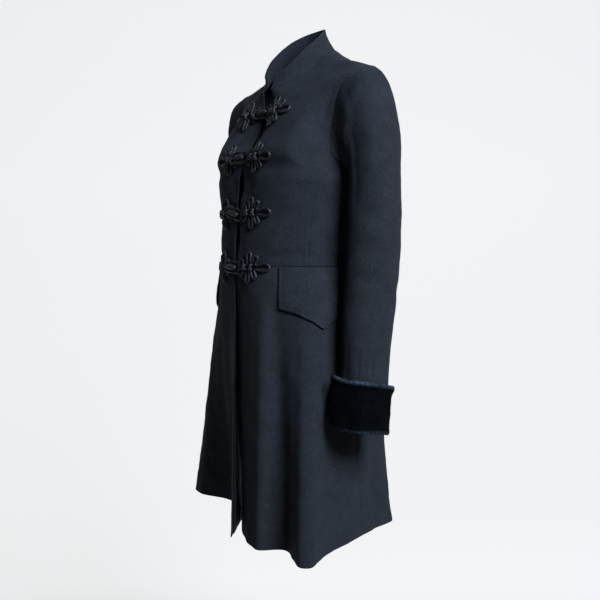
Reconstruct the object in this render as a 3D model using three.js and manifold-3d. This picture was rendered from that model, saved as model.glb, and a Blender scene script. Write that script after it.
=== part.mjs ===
// A woman's fitted three-quarter coat with a stand collar, a waist seam, a flared skirt,
// two-piece sleeves, turned-back velvet cuffs, pointed pocket flaps and four braided frogs.
//
// Units are millimetres and +Z is up. The wearer faces -Y and their left side is +X.
// The origin is on the body's axis at the height of the nape.
//
// Every piece of cloth is a wall between its outer surface and the same surface moved
// inwards. A surface is a function of two parameters, worked out from short tables of
// sections, and neighbouring pieces share it so that their seams meet.

import * as THREE from 'three';
import { mergeVertices } from 'three/addons/utils/BufferGeometryUtils.js';
import Module from 'manifold-3d';

const wasm = await Module();
wasm.setup();

// ---------------------------------------------------------------- driving dimensions

const SEAM = 0.3;                 // gap left between two pieces at a seam
const COATING = 2.2;              // thickness of the wool coating
const FACING = 1.3;               // thickness of the facings
const VELVET = 3.0;               // thickness of the velvet cuffs, pile included
const FLAP = 2.6;                 // thickness of a pocket flap, two layers pressed flat

const WAIST_Z = -403;             // height of the waist seam
const EDGE_X = 2.5;               // distance of each front edge from the centre front
const BACK_X = 0.15;              // half of the gap at the centre-back seam

const FACING_GAP = 0.9;           // how far a facing or a flap lies from its cloth
const HIP_EASE = 17;              // how far the skirt swells over the hip

const CORD = 2.0;                 // radius of the frogs' braid
const CORD_SIDES = 4;             // sides of the braid's section
const CORD_STEPS = 72;            // steps of the braid round half a frog
const CORD_GAP = 0.3;             // how far the braid lies over the cloth
const KNOT_RADIUS = 5.6;          // radius of a frog's barrel knot
const KNOT_LENGTH = 32;           // length of a frog's barrel knot
const KNOT_END = 0.62;            // how thick the knot's ends are, as a share
const KNOT_GAP = 1.8;             // how far the knot lies over the cloth
const LOOP_PLAY = 1;              // play of the loop round the knot

// ---------------------------------------------------------------- tables

// Rings of the body from the waist to the underarm. Each is a rounded oval.
// halfWidth: centre to side; middleY: where the side lies; frontY, backY: centre front
// and centre back; square: 2 is an ellipse, and more is squarer at the front.
const BODY_RINGS = [
  { z: WAIST_Z, halfWidth: 147, middleY: -14, frontY: -139, backY: 106, square: 2.05 },
  { z: -368, halfWidth: 146, middleY: -14, frontY: -138, backY: 103, square: 2.1 },
  { z: -312, halfWidth: 150, middleY: -10, frontY: -133, backY: 108, square: 2.25 },
  { z: -272, halfWidth: 156, middleY: -4, frontY: -132, backY: 115, square: 2.45 },
  { z: -250, halfWidth: 160, middleY: 0, frontY: -130, backY: 118, square: 2.65 },
];

// Rows above the underarm. Each row runs from the front edge or the neckline (neck)
// over two points of the chest or back (inner, outer) to the armhole (arm).
const FRONT_ROWS = [
  { neck: [3, -117, -209], inner: [53, -123, -211], outer: [112, -111, -211],
    arm: [151, -43, -208] },
  { neck: [3, -87, -161], inner: [53, -99, -163], outer: [111, -91, -167],
    arm: [149, -40, -170] },
  { neck: [10, -72, -114], inner: [54, -81, -125], outer: [109, -69, -131],
    arm: [152, -36, -136] },
  { neck: [12, -73, -88], inner: [58, -65, -99], outer: [113, -50, -104],
    arm: [158, -30, -104] },
  { neck: [42, -51, -78], inner: [77, -41, -78], outer: [121, -32, -83],
    arm: [167, -21, -84] },
  { neck: [62, -24, -58], inner: [91, -14, -56], outer: [131, -8, -64],
    arm: [178, -7, -71] },
];
const SHOULDER_ROW = { neck: [67, 4, -28], inner: [105, 18, -37], outer: [147, 19, -49],
  arm: [187, 14, -62] };
const BACK_ROWS = [
  { neck: [58, 30, -12], inner: [98, 45, -36], outer: [141, 47, -55],
    arm: [183, 33, -80] },
  { neck: [34, 54, -4], inner: [84, 68, -46], outer: [131, 68, -76],
    arm: [173, 45, -106] },
  { neck: [BACK_X, 66, 0], inner: [64, 82, -62], outer: [121, 82, -103],
    arm: [164, 51, -141] },
  { neck: [BACK_X, 94, -70], inner: [60, 102, -108], outer: [118, 95, -143],
    arm: [159, 49, -186] },
  { neck: [BACK_X, 113, -155], inner: [58, 115, -174], outer: [116, 101, -194],
    arm: [157, 32, -226] },
];

// Lines down the skirt, in order round one half. angle: where the line leaves the waist,
// in degrees from the centre front; hem: where it reaches the hem. A line that stands
// out from its neighbours is the crest of a fold.
const LEFT_FRONT_LINES = [
  { name: 'edge', angle: 0, hem: [-18, -112, -857] },
  { name: 'edge roll', angle: 9, hem: [24, -140, -866] },
  { name: 'front', angle: 19, hem: [72, -160, -869] },
  { name: 'front crest', angle: 29, hem: [108, -161, -869] },
  { name: 'valley', angle: 40, hem: [141, -130, -868] },
  { name: 'rise', angle: 50, hem: [181, -141, -869] },
  { name: 'crest', angle: 58, hem: [213, -152, -870] },
  { name: 'turn', angle: 66, hem: [229, -137, -869] },
  { name: 'fall', angle: 75, hem: [206, -91, -864] },
  { name: 'hip', angle: 83, hem: [198, -45, -858] },
  { name: 'side', angle: 90, hem: [184, 0, -855] },
];
const RIGHT_FRONT_LINES = [
  { name: 'edge', angle: 0, hem: [-29, -166, -869] },
  { name: 'edge sweep', angle: 9, hem: [34, -108, -860] },
  { name: 'valley', angle: 19, hem: [78, -82, -855] },
  { name: 'inner rise', angle: 29, hem: [108, -79, -854] },
  { name: 'rise', angle: 40, hem: [138, -86, -852] },
  { name: 'front', angle: 50, hem: [166, -97, -852] },
  { name: 'crest', angle: 58, hem: [195, -103, -852] },
  { name: 'turn', angle: 66, hem: [224, -97, -852] },
  { name: 'fall', angle: 74, hem: [230, -66, -853] },
  { name: 'hip', angle: 82, hem: [212, -30, -854] },
  { name: 'side', angle: 90, hem: [184, 0, -855] },
];
const BACK_LINES = [
  { name: 'side', angle: 90, hem: [184, 0, -855] },
  { name: 'hip', angle: 101, hem: [168, 44, -855] },
  { name: 'crest', angle: 114, hem: [148, 96, -855] },
  { name: 'valley', angle: 127, hem: [112, 103, -854] },
  { name: 'back crest', angle: 141, hem: [88, 138, -855] },
  { name: 'back valley', angle: 155, hem: [48, 138, -854] },
  { name: 'centre crest', angle: 168, hem: [24, 166, -856] },
  { name: 'centre', angle: 180, hem: [BACK_X, 170, -856] },
];

// The collar's free edge from the front to the nape, one point above each row of the
// neckline.
const COLLAR_TOP = [
  { name: 'front', top: [14, -68, -60] },
  { name: 'throat', top: [32, -55, -48] },
  { name: 'side front', top: [49, -31, -21] },
  { name: 'side', top: [53, 0, 7] },
  { name: 'side back', top: [43, 22, 24] },
  { name: 'back', top: [24, 40, 34] },
  { name: 'nape', top: [0, 50, 38] },
];

// Rings of the sleeve below the armhole, for the left arm. roll lifts the outer side and
// pitch the front, in degrees; swing is how much further back the right sleeve hangs.
const SLEEVE_RINGS = [
  { at: [187, 8, -161], halfWidth: 92, halfDepth: 50, roll: 76, pitch: 0, swing: 2 },
  { at: [199, 9, -187], halfWidth: 77, halfDepth: 48, roll: 66, pitch: 0, swing: 6 },
  { at: [207, 8, -220], halfWidth: 61, halfDepth: 46, roll: 50, pitch: 0, swing: 12 },
  { at: [208, 7, -262], halfWidth: 49, halfDepth: 44, roll: 28, pitch: 0, swing: 17 },
  { at: [207, 7, -318], halfWidth: 45, halfDepth: 45, roll: 6, pitch: 0, swing: 22 },
  { at: [207, 2, -404], halfWidth: 44, halfDepth: 45, roll: 0, pitch: 3, swing: 29 },
  { at: [213, -13, -500], halfWidth: 41, halfDepth: 43, roll: 2, pitch: 8, swing: 37 },
  { at: [224, -28, -592], halfWidth: 37, halfDepth: 39, roll: 2, pitch: 14, swing: 42 },
  { at: [230, -38, -664], halfWidth: 37, halfDepth: 40, roll: 1, pitch: 18, swing: 46 },
];
const FRONT_SEAM = 0.16;          // place of the sleeve's front seam, round from underarm
const ELBOW_SEAM = 0.80;          // place of the seam that passes the elbow

// Long folds of the sleeve. around: place round the ring; width: half of its spread;
// depth: how far it sinks; top, bottom: where it starts and ends along the sleeve.
const SLEEVE_FOLDS = [
  { around: 0.288, width: 0.05, depth: 5, top: 0.8, bottom: 5.2 },
  { around: 0.368, width: 0.05, depth: -3, top: 0.8, bottom: 4.6 },
  { around: 0.736, width: 0.05, depth: 3.5, top: 2, bottom: 5.5 },
];

// The cuff along its height: rise from the lower edge and how far it stands off. Its
// free corner, beside the front seam, rises a little more.
const CUFF_ROWS = [
  { rise: 0, stand: 0.5 },
  { rise: 17, stand: 3.2 },
  { rise: 46, stand: 4.6 },
  { rise: 76, stand: 6.2 },
];
const CUFF_CORNER = { place: 0.012, width: 0.035, rise: 3, stand: 3 };
const CUFF_OPENING = 0.004;       // half of the gap at the cuff's front seam

// The pocket flap's length down from the waist seam. line: the skirt line it hangs by.
const FLAP_EDGE = [
  { line: 4, length: 69 },
  { line: 5.6, length: 77 },
  { line: 6.8, length: 88 },
  { line: 7.6, length: 101 },
  { line: 8.8, length: 84 },
  { line: 10, length: 71 },
];
const FLAP_REAR = 6;              // how far the flap ends before the side seam

// The facing's width, in lines of the skirt and as a share of the bodice front.
const FACING_LINES = 2;
const FACING_SHARE = 0.25;
const FACING_COLUMNS = 4;

// The frogs, from the neck down. knotX: how far the knot lies from the centre front;
// tilt: how much it turns, in degrees.
const FROGS = [
  { name: 'frog_1', z: -131, knotX: -4, tilt: 8 },
  { name: 'frog_2', z: -213, knotX: -13, tilt: 4 },
  { name: 'frog_3', z: -310, knotX: -7, tilt: -14 },
  { name: 'frog_4', z: -405, knotX: -4, tilt: -4 },
];

// The braid's route round the upper half of a spray, from the front edge out: a stem, a
// bud, a tall petal, a short petal and half of the outer petal. Each point is out from
// the centre front and up, and the lower half mirrors it.
const SPRAY_ROUTE = [
  [14, 2.4], [18, 3.4], [18.4, 8], [20, 12.3], [23.6, 14.1], [27.2, 11.8], [27.6, 7.7],
  [29.5, 4.4], [33.5, 3.6], [36.6, 6.5], [36.6, 12.6], [36.4, 19.4], [37.8, 24.5],
  [41.2, 26.4], [44.8, 24.3], [45.2, 17.9], [44.8, 11.8], [46.2, 8.3], [49, 9.9],
  [51, 14.1], [53.4, 17.9], [57, 19.6], [60, 17.3], [58.8, 12.1], [56, 7.7], [56, 4.4],
  [60.4, 3.4], [66.5, 5.3], [74, 6.2], [80, 4.6], [82.2, 0],
];

// ---------------------------------------------------------------- curves and surfaces

// A smooth value through a list of values, at a place counted in list steps.
// It never overshoots between two of them.
function through(values, place) {
  const last = values.length - 1;
  const i = Math.min(Math.max(Math.floor(place), 0), last - 1);
  const t = place - i;
  const step = (k) => values[k + 1] - values[k];
  const slope = (k) => {
    if (k === 0) return step(0);
    if (k === last) return step(last - 1);
    const before = step(k - 1);
    const after = step(k);
    return before * after <= 0 ? 0 : (2 * before * after) / (before + after);
  };
  const t2 = t * t;
  const t3 = t2 * t;
  return values[i] * (2 * t3 - 3 * t2 + 1) + slope(i) * (t3 - 2 * t2 + t)
    + values[i + 1] * (3 * t2 - 2 * t3) + slope(i + 1) * (t3 - t2);
}

// The same for a list of points, given as arrays.
function throughPoints(points, place) {
  return [0, 1, 2].map((axis) => through(points.map((p) => p[axis]), place));
}

const radians = THREE.MathUtils.degToRad;
const bell = (distance, width) => Math.exp(-((distance / width) ** 2));
const toVector = (p) => new THREE.Vector3(p[0], p[1], p[2]);

// A point of a body ring. angle is 0 at the centre front and 180 at the centre back.
function ringPoint(ring, angle) {
  const power = 2 / ring.square;
  const sine = Math.abs(Math.sin(radians(angle))) ** power;
  const cosine = Math.abs(Math.cos(radians(angle))) ** power;
  const isFront = angle <= 90;
  const inset = isFront ? EDGE_X : BACK_X;
  const depth = isFront ? ring.middleY - ring.frontY : ring.backY - ring.middleY;
  const x = inset + (ring.halfWidth - inset) * sine;
  const y = ring.middleY + (isFront ? -depth : depth) * cosine;
  return [x, y, ring.z];
}

const ROW_COLUMNS = ['neck', 'inner', 'outer', 'arm'];

// A point of a row above the underarm, across from 0 at the neck to 1 at the arm.
function rowPoint(row, across) {
  return throughPoints(ROW_COLUMNS.map((c) => row[c]), across * (ROW_COLUMNS.length - 1));
}

// The half trunk as one sheet that goes up the front, over the shoulder and down the
// back: across from 0 at the centre to 1 at the side, and up counted in rows.
const RINGS = BODY_RINGS.length;
const SHOULDER = RINGS + FRONT_ROWS.length;
const BACK_ARM = SHOULDER + BACK_ROWS.length + 1;
const TRUNK_TOP = BACK_ARM + RINGS - 1;
const TRUNK_RANGE = { u: [0, 1], v: [0, TRUNK_TOP] };
function trunk(across, up) {
  const column = [
    ...BODY_RINGS.map((ring) => ringPoint(ring, across * 90)),
    ...FRONT_ROWS.map((row) => rowPoint(row, across)),
    rowPoint(SHOULDER_ROW, across),
    ...BACK_ROWS.map((row) => rowPoint(row, across)),
    ...BODY_RINGS.map((ring) => ringPoint(ring, 180 - across * 90)).reverse(),
  ];
  return toVector(throughPoints(column, up));
}

// A skirt surface: along counted in the table's lines, down from 0 at the waist to 1.
function skirtSurface(lines) {
  const angles = lines.map((line) => line.angle);
  const hems = lines.map((line) => line.hem);
  return (along, down) => {
    const angle = through(angles, along);
    const waist = toVector(ringPoint(BODY_RINGS[0], Math.min(angle, 180)));
    const hem = toVector(throughPoints(hems, along));
    const point = waist.clone().lerp(hem, down);
    const outward = new THREE.Vector3(waist.x, waist.y - BODY_RINGS[0].middleY, 0);
    const ease = HIP_EASE * Math.sin(Math.PI * down) * (1 - down);
    const besideEdge = Math.min(1, angle / 20) * Math.min(1, (180 - angle) / 20 + 0.3);
    return point.addScaledVector(outward.normalize(), ease * besideEdge);
  };
}

const SKIRT_FRONT = { left: skirtSurface(LEFT_FRONT_LINES),
  right: skirtSurface(RIGHT_FRONT_LINES) };
const SKIRT_BACK = skirtSurface(BACK_LINES);

// The collar: along from 0 at the front edge to the nape, and up from the neckline.
const NECK_PIT = RINGS + 3;
function collarSurface(along, up) {
  const foot = trunk(0, NECK_PIT + along);
  const top = toVector(throughPoints(COLLAR_TOP.map((line) => line.top), along));
  const point = foot.lerp(top, up);
  const hollow = 2.5 * Math.sin(Math.PI * up);
  const inward = new THREE.Vector3(-point.x, -point.y, 0).normalize();
  return point.addScaledVector(inward, hollow);
}

// The armhole's curve, once round from the underarm by the front, the shoulder and back.
function armholeRow(around) {
  return RINGS - 1 + (around - Math.floor(around)) * (BACK_ARM - RINGS + 1);
}

function armhole(around) {
  return trunk(1, armholeRow(around));
}

// A point of an oval ring of the sleeve.
function sleeveRing(ring, around, swung) {
  const turn = 2 * Math.PI * around;
  const outer = new THREE.Vector3(Math.cos(radians(ring.roll)), 0,
    Math.sin(radians(ring.roll)));
  const front = new THREE.Vector3(0, -Math.cos(radians(ring.pitch)),
    Math.sin(radians(ring.pitch)));
  const centre = toVector(ring.at);
  centre.y += swung ? ring.swing : 0;
  return centre.addScaledVector(outer, -ring.halfWidth * Math.cos(turn))
    .addScaledVector(front, ring.halfDepth * Math.sin(turn));
}

// The sleeve: around from 0 at the underarm, down counted in rings from the armhole.
function sleeveSurface(swung) {
  return (around, down) => {
    const column = [
      armhole(around).toArray(),
      ...SLEEVE_RINGS.map((ring) => sleeveRing(ring, around, swung).toArray()),
    ];
    const point = toVector(throughPoints(column, down));
    const i = Math.min(Math.max(Math.round(down) - 1, 0), SLEEVE_RINGS.length - 1);
    const axis = toVector(SLEEVE_RINGS[i].at);
    const inward = new THREE.Vector3(axis.x - point.x, axis.y - point.y, 0).normalize();
    for (const fold of SLEEVE_FOLDS) {
      const middle = (fold.top + fold.bottom) / 2;
      const reach = (fold.bottom - fold.top) / 2;
      const fade = Math.max(0, 1 - ((down - middle) / reach) ** 2);
      const turn = around - Math.floor(around) - fold.around;
      point.addScaledVector(inward, fold.depth * fade * bell(turn, fold.width));
    }
    return point;
  };
}

// ---------------------------------------------------------------- walls

// Outward unit normal of a surface at (u, v); facing is 1 or -1.
function normalAt(surface, u, v, range, facing) {
  const du = 1e-3;
  const dv = 1e-3;
  const u0 = Math.max(u - du, range.u[0]);
  const u1 = Math.min(u + du, range.u[1]);
  const v0 = Math.max(v - dv, range.v[0]);
  const v1 = Math.min(v + dv, range.v[1]);
  const alongU = surface(u1, v).sub(surface(u0, v));
  const alongV = surface(u, v1).sub(surface(u, v0));
  return alongU.cross(alongV).normalize().multiplyScalar(facing);
}

// A closed geometry from two grids of points, one over the other, and their rim.
function closeGrids(outer, inner, columns, rows) {
  const points = [...outer, ...inner];
  const positions = new Float32Array(points.length * 3);
  points.forEach((p, i) => positions.set([p.x, p.y, p.z], i * 3));
  const id = (layer, i, j) => layer * outer.length + j * (columns + 1) + i;
  const faces = [];
  const quad = (a, b, c, d) => faces.push(a, b, c, a, c, d);
  for (let j = 0; j < rows; j += 1) {
    for (let i = 0; i < columns; i += 1) {
      quad(id(0, i, j), id(0, i + 1, j), id(0, i + 1, j + 1), id(0, i, j + 1));
      quad(id(1, i, j), id(1, i, j + 1), id(1, i + 1, j + 1), id(1, i + 1, j));
    }
  }
  for (let i = 0; i < columns; i += 1) {
    quad(id(0, i, 0), id(1, i, 0), id(1, i + 1, 0), id(0, i + 1, 0));
    quad(id(0, i, rows), id(0, i + 1, rows), id(1, i + 1, rows), id(1, i, rows));
  }
  for (let j = 0; j < rows; j += 1) {
    quad(id(0, 0, j), id(0, 0, j + 1), id(1, 0, j + 1), id(1, 0, j));
    quad(id(0, columns, j), id(1, columns, j), id(1, columns, j + 1),
      id(0, columns, j + 1));
  }
  const geometry = new THREE.BufferGeometry();
  geometry.setAttribute('position', new THREE.BufferAttribute(positions, 3));
  geometry.setIndex(faces);
  return facingOut(geometry);
}

// Turns a closed geometry's faces outwards if they point inwards.
function facingOut(geometry) {
  const p = geometry.getAttribute('position');
  const index = Array.from(geometry.index.array);
  const corner = (k) => new THREE.Vector3().fromBufferAttribute(p, index[k]);
  let volume = 0;
  for (let k = 0; k < index.length; k += 3) {
    volume += corner(k).dot(corner(k + 1).cross(corner(k + 2)));
  }
  if (volume < 0) {
    for (let k = 0; k < index.length; k += 3) {
      [index[k + 1], index[k + 2]] = [index[k + 2], index[k + 1]];
    }
    geometry.setIndex(index);
  }
  return geometry;
}

// Evenly spaced values from one to another, for the lines of a grid.
function steps(from, to, count) {
  return Array.from({ length: count + 1 }, (_, k) => from + ((to - from) * k) / count);
}

// Steps that go on from the last of a list.
function andSteps(list, to, count) {
  return [...list, ...steps(list[list.length - 1], to, count).slice(1)];
}

// A wall of cloth. u and v are the lines of its grid, over and under how far its faces
// lie outside the surface (under is lower), trim the width left free along the edges
// u0, u1, v0 and v1, centre the least x that it may reach, mirrored its hand.
// within is the range that the surface's normals are taken in, and startNormal gives the
// neighbour's normal along the first row, which the wall takes where the two pieces
// nearly line up, so that they stay apart through their thickness.
function wall(surface, { u, v, facing, over = 0, under, trim, centre, mirrored,
  within, startNormal }) {
  const columns = u.length - 1;
  const rows = v.length - 1;
  const range = within ?? { u: [u[0], u[columns]], v: [v[0], v[rows]] };
  const edges = { u0: 0, u1: 0, v0: 0, v1: 0, ...trim };
  const outer = [];
  const inner = [];
  for (let j = 0; j <= rows; j += 1) {
    for (let i = 0; i <= columns; i += 1) {
      const a = u[i];
      const b = v[j];
      const point = surface(a, b);
      const normal = normalAt(surface, a, b, range, facing);
      if (j === 0 && startNormal) {
        const beside = startNormal(a);
        const share = THREE.MathUtils.clamp(normal.dot(beside) * 1.6, 0, 1);
        normal.lerp(beside, share).normalize();
      }
      const shift = new THREE.Vector3();
      const slide = (along, width) => shift.addScaledVector(along.normalize(), width);
      const small = 1e-3;
      if (i === 0) slide(surface(a + small, b).sub(point), edges.u0);
      if (i === columns) slide(surface(a - small, b).sub(point), edges.u1);
      if (j === 0) slide(surface(a, b + small).sub(point), edges.v0);
      if (j === rows) slide(surface(a, b - small).sub(point), edges.v1);
      point.add(shift);
      outer.push(point.clone().addScaledVector(normal, over));
      inner.push(point.clone().addScaledVector(normal, under));
    }
  }
  for (const p of [...outer, ...inner]) {
    if (centre !== undefined) p.x = Math.max(p.x, centre);
    if (mirrored) p.x = -p.x;
  }
  return closeGrids(outer, inner, columns, rows);
}

// ---------------------------------------------------------------- braid

// The coat's outer face at x and z near the centre front: its point and normal. The
// search starts from a rough guess, and each pass follows the surface's slope.
function frontFace(side, x, z) {
  const across = Math.max(Math.abs(x), EDGE_X + SEAM);
  const onBodice = z > WAIST_Z;
  const surface = onBodice ? trunk : SKIRT_FRONT[side];
  const lineCount = LEFT_FRONT_LINES.length;
  const range = onBodice ? { u: [0, 1], v: [0, SHOULDER] }
    : { u: [0, lineCount - 1], v: [0, 1] };
  const chest = BODY_RINGS[RINGS - 1];
  const rowHeight = (WAIST_Z - chest.z) / (1 - RINGS);
  const skirtLength = WAIST_Z - LEFT_FRONT_LINES[0].hem[2];
  let u = across / (onBodice ? chest.halfWidth : chest.halfWidth / lineCount);
  let v = onBodice ? Math.min(RINGS - 1 + (z - chest.z) / rowHeight, NECK_PIT)
    : (WAIST_Z - z) / skirtLength;
  const small = 1e-4;
  const passes = 12;
  for (let pass = 0; pass < passes; pass += 1) {
    u = Math.min(Math.max(u, range.u[0] + small), range.u[1] - small);
    v = Math.min(Math.max(v, range.v[0] + small), range.v[1] - small);
    const p = surface(u, v);
    const pu = surface(u + small, v).sub(p).divideScalar(small);
    const pv = surface(u, v + small).sub(p).divideScalar(small);
    const ex = across - p.x;
    const ez = z - p.z;
    const det = pu.x * pv.z - pv.x * pu.z;
    u += THREE.MathUtils.clamp((ex * pv.z - ez * pv.x) / det, -0.5, 0.5);
    v += THREE.MathUtils.clamp((pu.x * ez - pu.z * ex) / det, -0.5, 0.5);
  }
  u = Math.min(Math.max(u, range.u[0]), range.u[1]);
  v = Math.min(Math.max(v, range.v[0]), range.v[1]);
  const point = surface(u, v);
  const normal = normalAt(surface, u, v, range, onBodice ? 1 : -1);
  const sign = side === 'left' ? 1 : -1;
  point.x = x;
  normal.x *= sign;
  return { point, normal };
}

// A closed ring of braid along points with normals.
function braid(path) {
  const count = path.length;
  const vertices = [];
  const faces = [];
  path.forEach(({ point, normal }, k) => {
    const next = path[(k + 1) % count];
    const last = path[(k + count - 1) % count];
    const along = next.point.clone().sub(last.point).normalize();
    const beside = along.clone().cross(normal).normalize();
    const above = beside.clone().cross(along).normalize();
    for (let s = 0; s < CORD_SIDES; s += 1) {
      const turn = (2 * Math.PI * (s + 0.5)) / CORD_SIDES;
      vertices.push(point.clone().addScaledVector(beside, CORD * Math.cos(turn))
        .addScaledVector(above, CORD * Math.sin(turn)));
    }
  });
  const id = (k, s) => (k % count) * CORD_SIDES + (s % CORD_SIDES);
  for (let k = 0; k < count; k += 1) {
    for (let s = 0; s < CORD_SIDES; s += 1) {
      faces.push(id(k, s), id(k + 1, s), id(k + 1, s + 1));
      faces.push(id(k, s), id(k + 1, s + 1), id(k, s + 1));
    }
  }
  const geometry = new THREE.BufferGeometry();
  const positions = new Float32Array(vertices.flatMap((p) => [p.x, p.y, p.z]));
  geometry.setAttribute('position', new THREE.BufferAttribute(positions, 3));
  geometry.setIndex(faces);
  return facingOut(geometry);
}

// A flat pattern point of a frog, laid on the coat and lifted to the braid's middle.
// out is towards the side that the half lies on, and may be below 0.
function onCoat(half, frog, out, up, lift = CORD + CORD_GAP) {
  const x = half === 'left' ? out : -out;
  const { point, normal } = frontFace(x >= 0 ? 'left' : 'right', x, frog.z + up);
  return { point: point.addScaledVector(normal, lift), normal };
}

// The braid of one half: the spray's route out and back, closed by points near the edge.
// A third number in a closing point is how far it rises over the rest.
function spray(half, frog, closing) {
  const back = SPRAY_ROUTE.slice(0, -1).reverse().map(([out, up]) => [out, -up]);
  const route = [...SPRAY_ROUTE, ...back, ...closing];
  const flat = new THREE.CatmullRomCurve3(route.map(([out, up, rise = 0]) =>
    new THREE.Vector3(out, up, rise)), true, 'centripetal');
  const count = CORD_STEPS + closing.length * 2;
  const path = flat.getSpacedPoints(count).slice(0, count);
  const lift = CORD + CORD_GAP;
  return braid(path.map((p) => onCoat(half, frog, p.x, p.y, lift + Math.max(p.z, 0))));
}

// ---------------------------------------------------------------- solids

function toManifold(geometry) {
  const bare = geometry.clone();
  bare.deleteAttribute('normal');
  bare.deleteAttribute('uv');
  const merged = mergeVertices(bare, 1e-4);
  const vertProperties = new Float32Array(merged.getAttribute('position').array);
  const triVerts = new Uint32Array(merged.index.array);
  return new wasm.Manifold(new wasm.Mesh({ numProp: 3, vertProperties, triVerts }));
}

function fromManifold(solid) {
  const mesh = solid.getMesh();
  const geometry = new THREE.BufferGeometry();
  const positions = new Float32Array(mesh.vertProperties);
  geometry.setAttribute('position', new THREE.BufferAttribute(positions, 3));
  geometry.setIndex(Array.from(mesh.triVerts));
  return geometry;
}

// Joins crossing strands into one body, without the tiny hollows left between them.
function joined(geometries) {
  const sum = geometries.map(toManifold).reduce((all, next) => all.add(next));
  const shells = sum.decompose().sort((a, b) => b.volume() - a.volume());
  return fromManifold(shells[0]);
}

// ---------------------------------------------------------------- materials

const wool = { color: 0x1a1e26, roughness: 0.92, metalness: 0 };
const facingWool = { color: 0x1d2129, roughness: 0.9, metalness: 0 };
const darkFacing = { color: 0x08090c, roughness: 0.8, metalness: 0 };
const velvet = { color: 0x07080b, roughness: 0.7, metalness: 0 };
const braidFinish = { color: 0x0c0d10, roughness: 0.55, metalness: 0 };

const coat = new THREE.Group();

function add(name, geometry, finish) {
  const material = new THREE.MeshStandardMaterial(finish);
  const mesh = new THREE.Mesh(geometry, material);
  mesh.name = name;
  coat.add(mesh);
}

// ---------------------------------------------------------------- pieces

const HALF = SEAM / 2;
const SIDES = ['left', 'right'];
const isRight = (side) => side === 'right';

// The bodice's grid has a line at each of the facing's lines, and the same lines at the
// front and the back, which meet at the shoulder.
const BODICE_COLUMNS = andSteps(steps(0, FACING_SHARE, FACING_COLUMNS), 1, 6);

function bodiceFront(side) {
  const rows = andSteps(steps(0, RINGS - 1, 4), SHOULDER, 14);
  return wall(trunk, { u: BODICE_COLUMNS, v: rows, facing: 1, under: -COATING,
    trim: { u1: HALF, v0: HALF, v1: HALF }, within: TRUNK_RANGE,
    mirrored: isRight(side) });
}

function bodiceBack(side) {
  const rows = andSteps(steps(SHOULDER, BACK_ARM, 12), TRUNK_TOP, 4);
  return wall(trunk, { u: BODICE_COLUMNS, v: rows, facing: 1, under: -COATING,
    trim: { u1: HALF, v0: HALF, v1: HALF }, within: TRUNK_RANGE, centre: BACK_X,
    mirrored: isRight(side) });
}

function skirtFront(side) {
  const last = (isRight(side) ? RIGHT_FRONT_LINES : LEFT_FRONT_LINES).length - 1;
  return wall(SKIRT_FRONT[side], { u: steps(0, last, last * 2), v: steps(0, 1, 7),
    facing: -1, under: -COATING, trim: { u1: HALF, v0: HALF },
    mirrored: isRight(side) });
}

function skirtBack(side) {
  const last = BACK_LINES.length - 1;
  return wall(SKIRT_BACK, { u: steps(0, last, last * 2), v: steps(0, 1, 6),
    facing: -1, under: -COATING, trim: { u0: HALF, v0: HALF }, centre: BACK_X,
    mirrored: isRight(side) });
}

// The facing lies inside the bodice front and the skirt front, along the front edge.
function frontFacing(side) {
  const skirt = SKIRT_FRONT[side];
  const strip = (across, down) => (down <= 0
    ? trunk(across * FACING_SHARE, -down)
    : skirt(across * FACING_LINES, down));
  const bust = 1 - RINGS;
  const bodiceRows = [0.1 - NECK_PIT, ...steps(0.5 - NECK_PIT, bust, 7)];
  const rows = andSteps(andSteps(bodiceRows, 0, 4), 0.995, 7);
  const columns = steps(0, 1, FACING_COLUMNS);
  columns[0] = 0.04;
  return wall(strip, { u: columns, v: rows, facing: -1,
    over: -(COATING + FACING_GAP), under: -(COATING + FACING_GAP + FACING),
    mirrored: isRight(side) });
}

// The collar runs from the right front edge round the nape to the left.
function collarBand(over, under, inset, rise) {
  const last = COLLAR_TOP.length - 1;
  const band = (along, up) => {
    const point = collarSurface(last - Math.abs(along), up);
    if (along < 0) point.x = -point.x;
    return point;
  };
  const rows = [inset, 1 / 3, 2 / 3, 1 - inset];
  return wall(band, { u: steps(-last, last, last * 4), v: rows, facing: -1, over, under,
    trim: { v0: rise } });
}

function sleevePiece(side, from, to, columns) {
  const rows = andSteps(steps(0, 5, 10), SLEEVE_RINGS.length, 5);
  return wall(sleeveSurface(isRight(side)), { u: steps(from, to, columns), v: rows,
    facing: -1, under: -COATING, trim: { u0: HALF, u1: HALF, v0: 4 * SEAM },
    mirrored: isRight(side),
    startNormal: (around) => normalAt(trunk, 1, armholeRow(around), TRUNK_RANGE, 1) });
}

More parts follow.
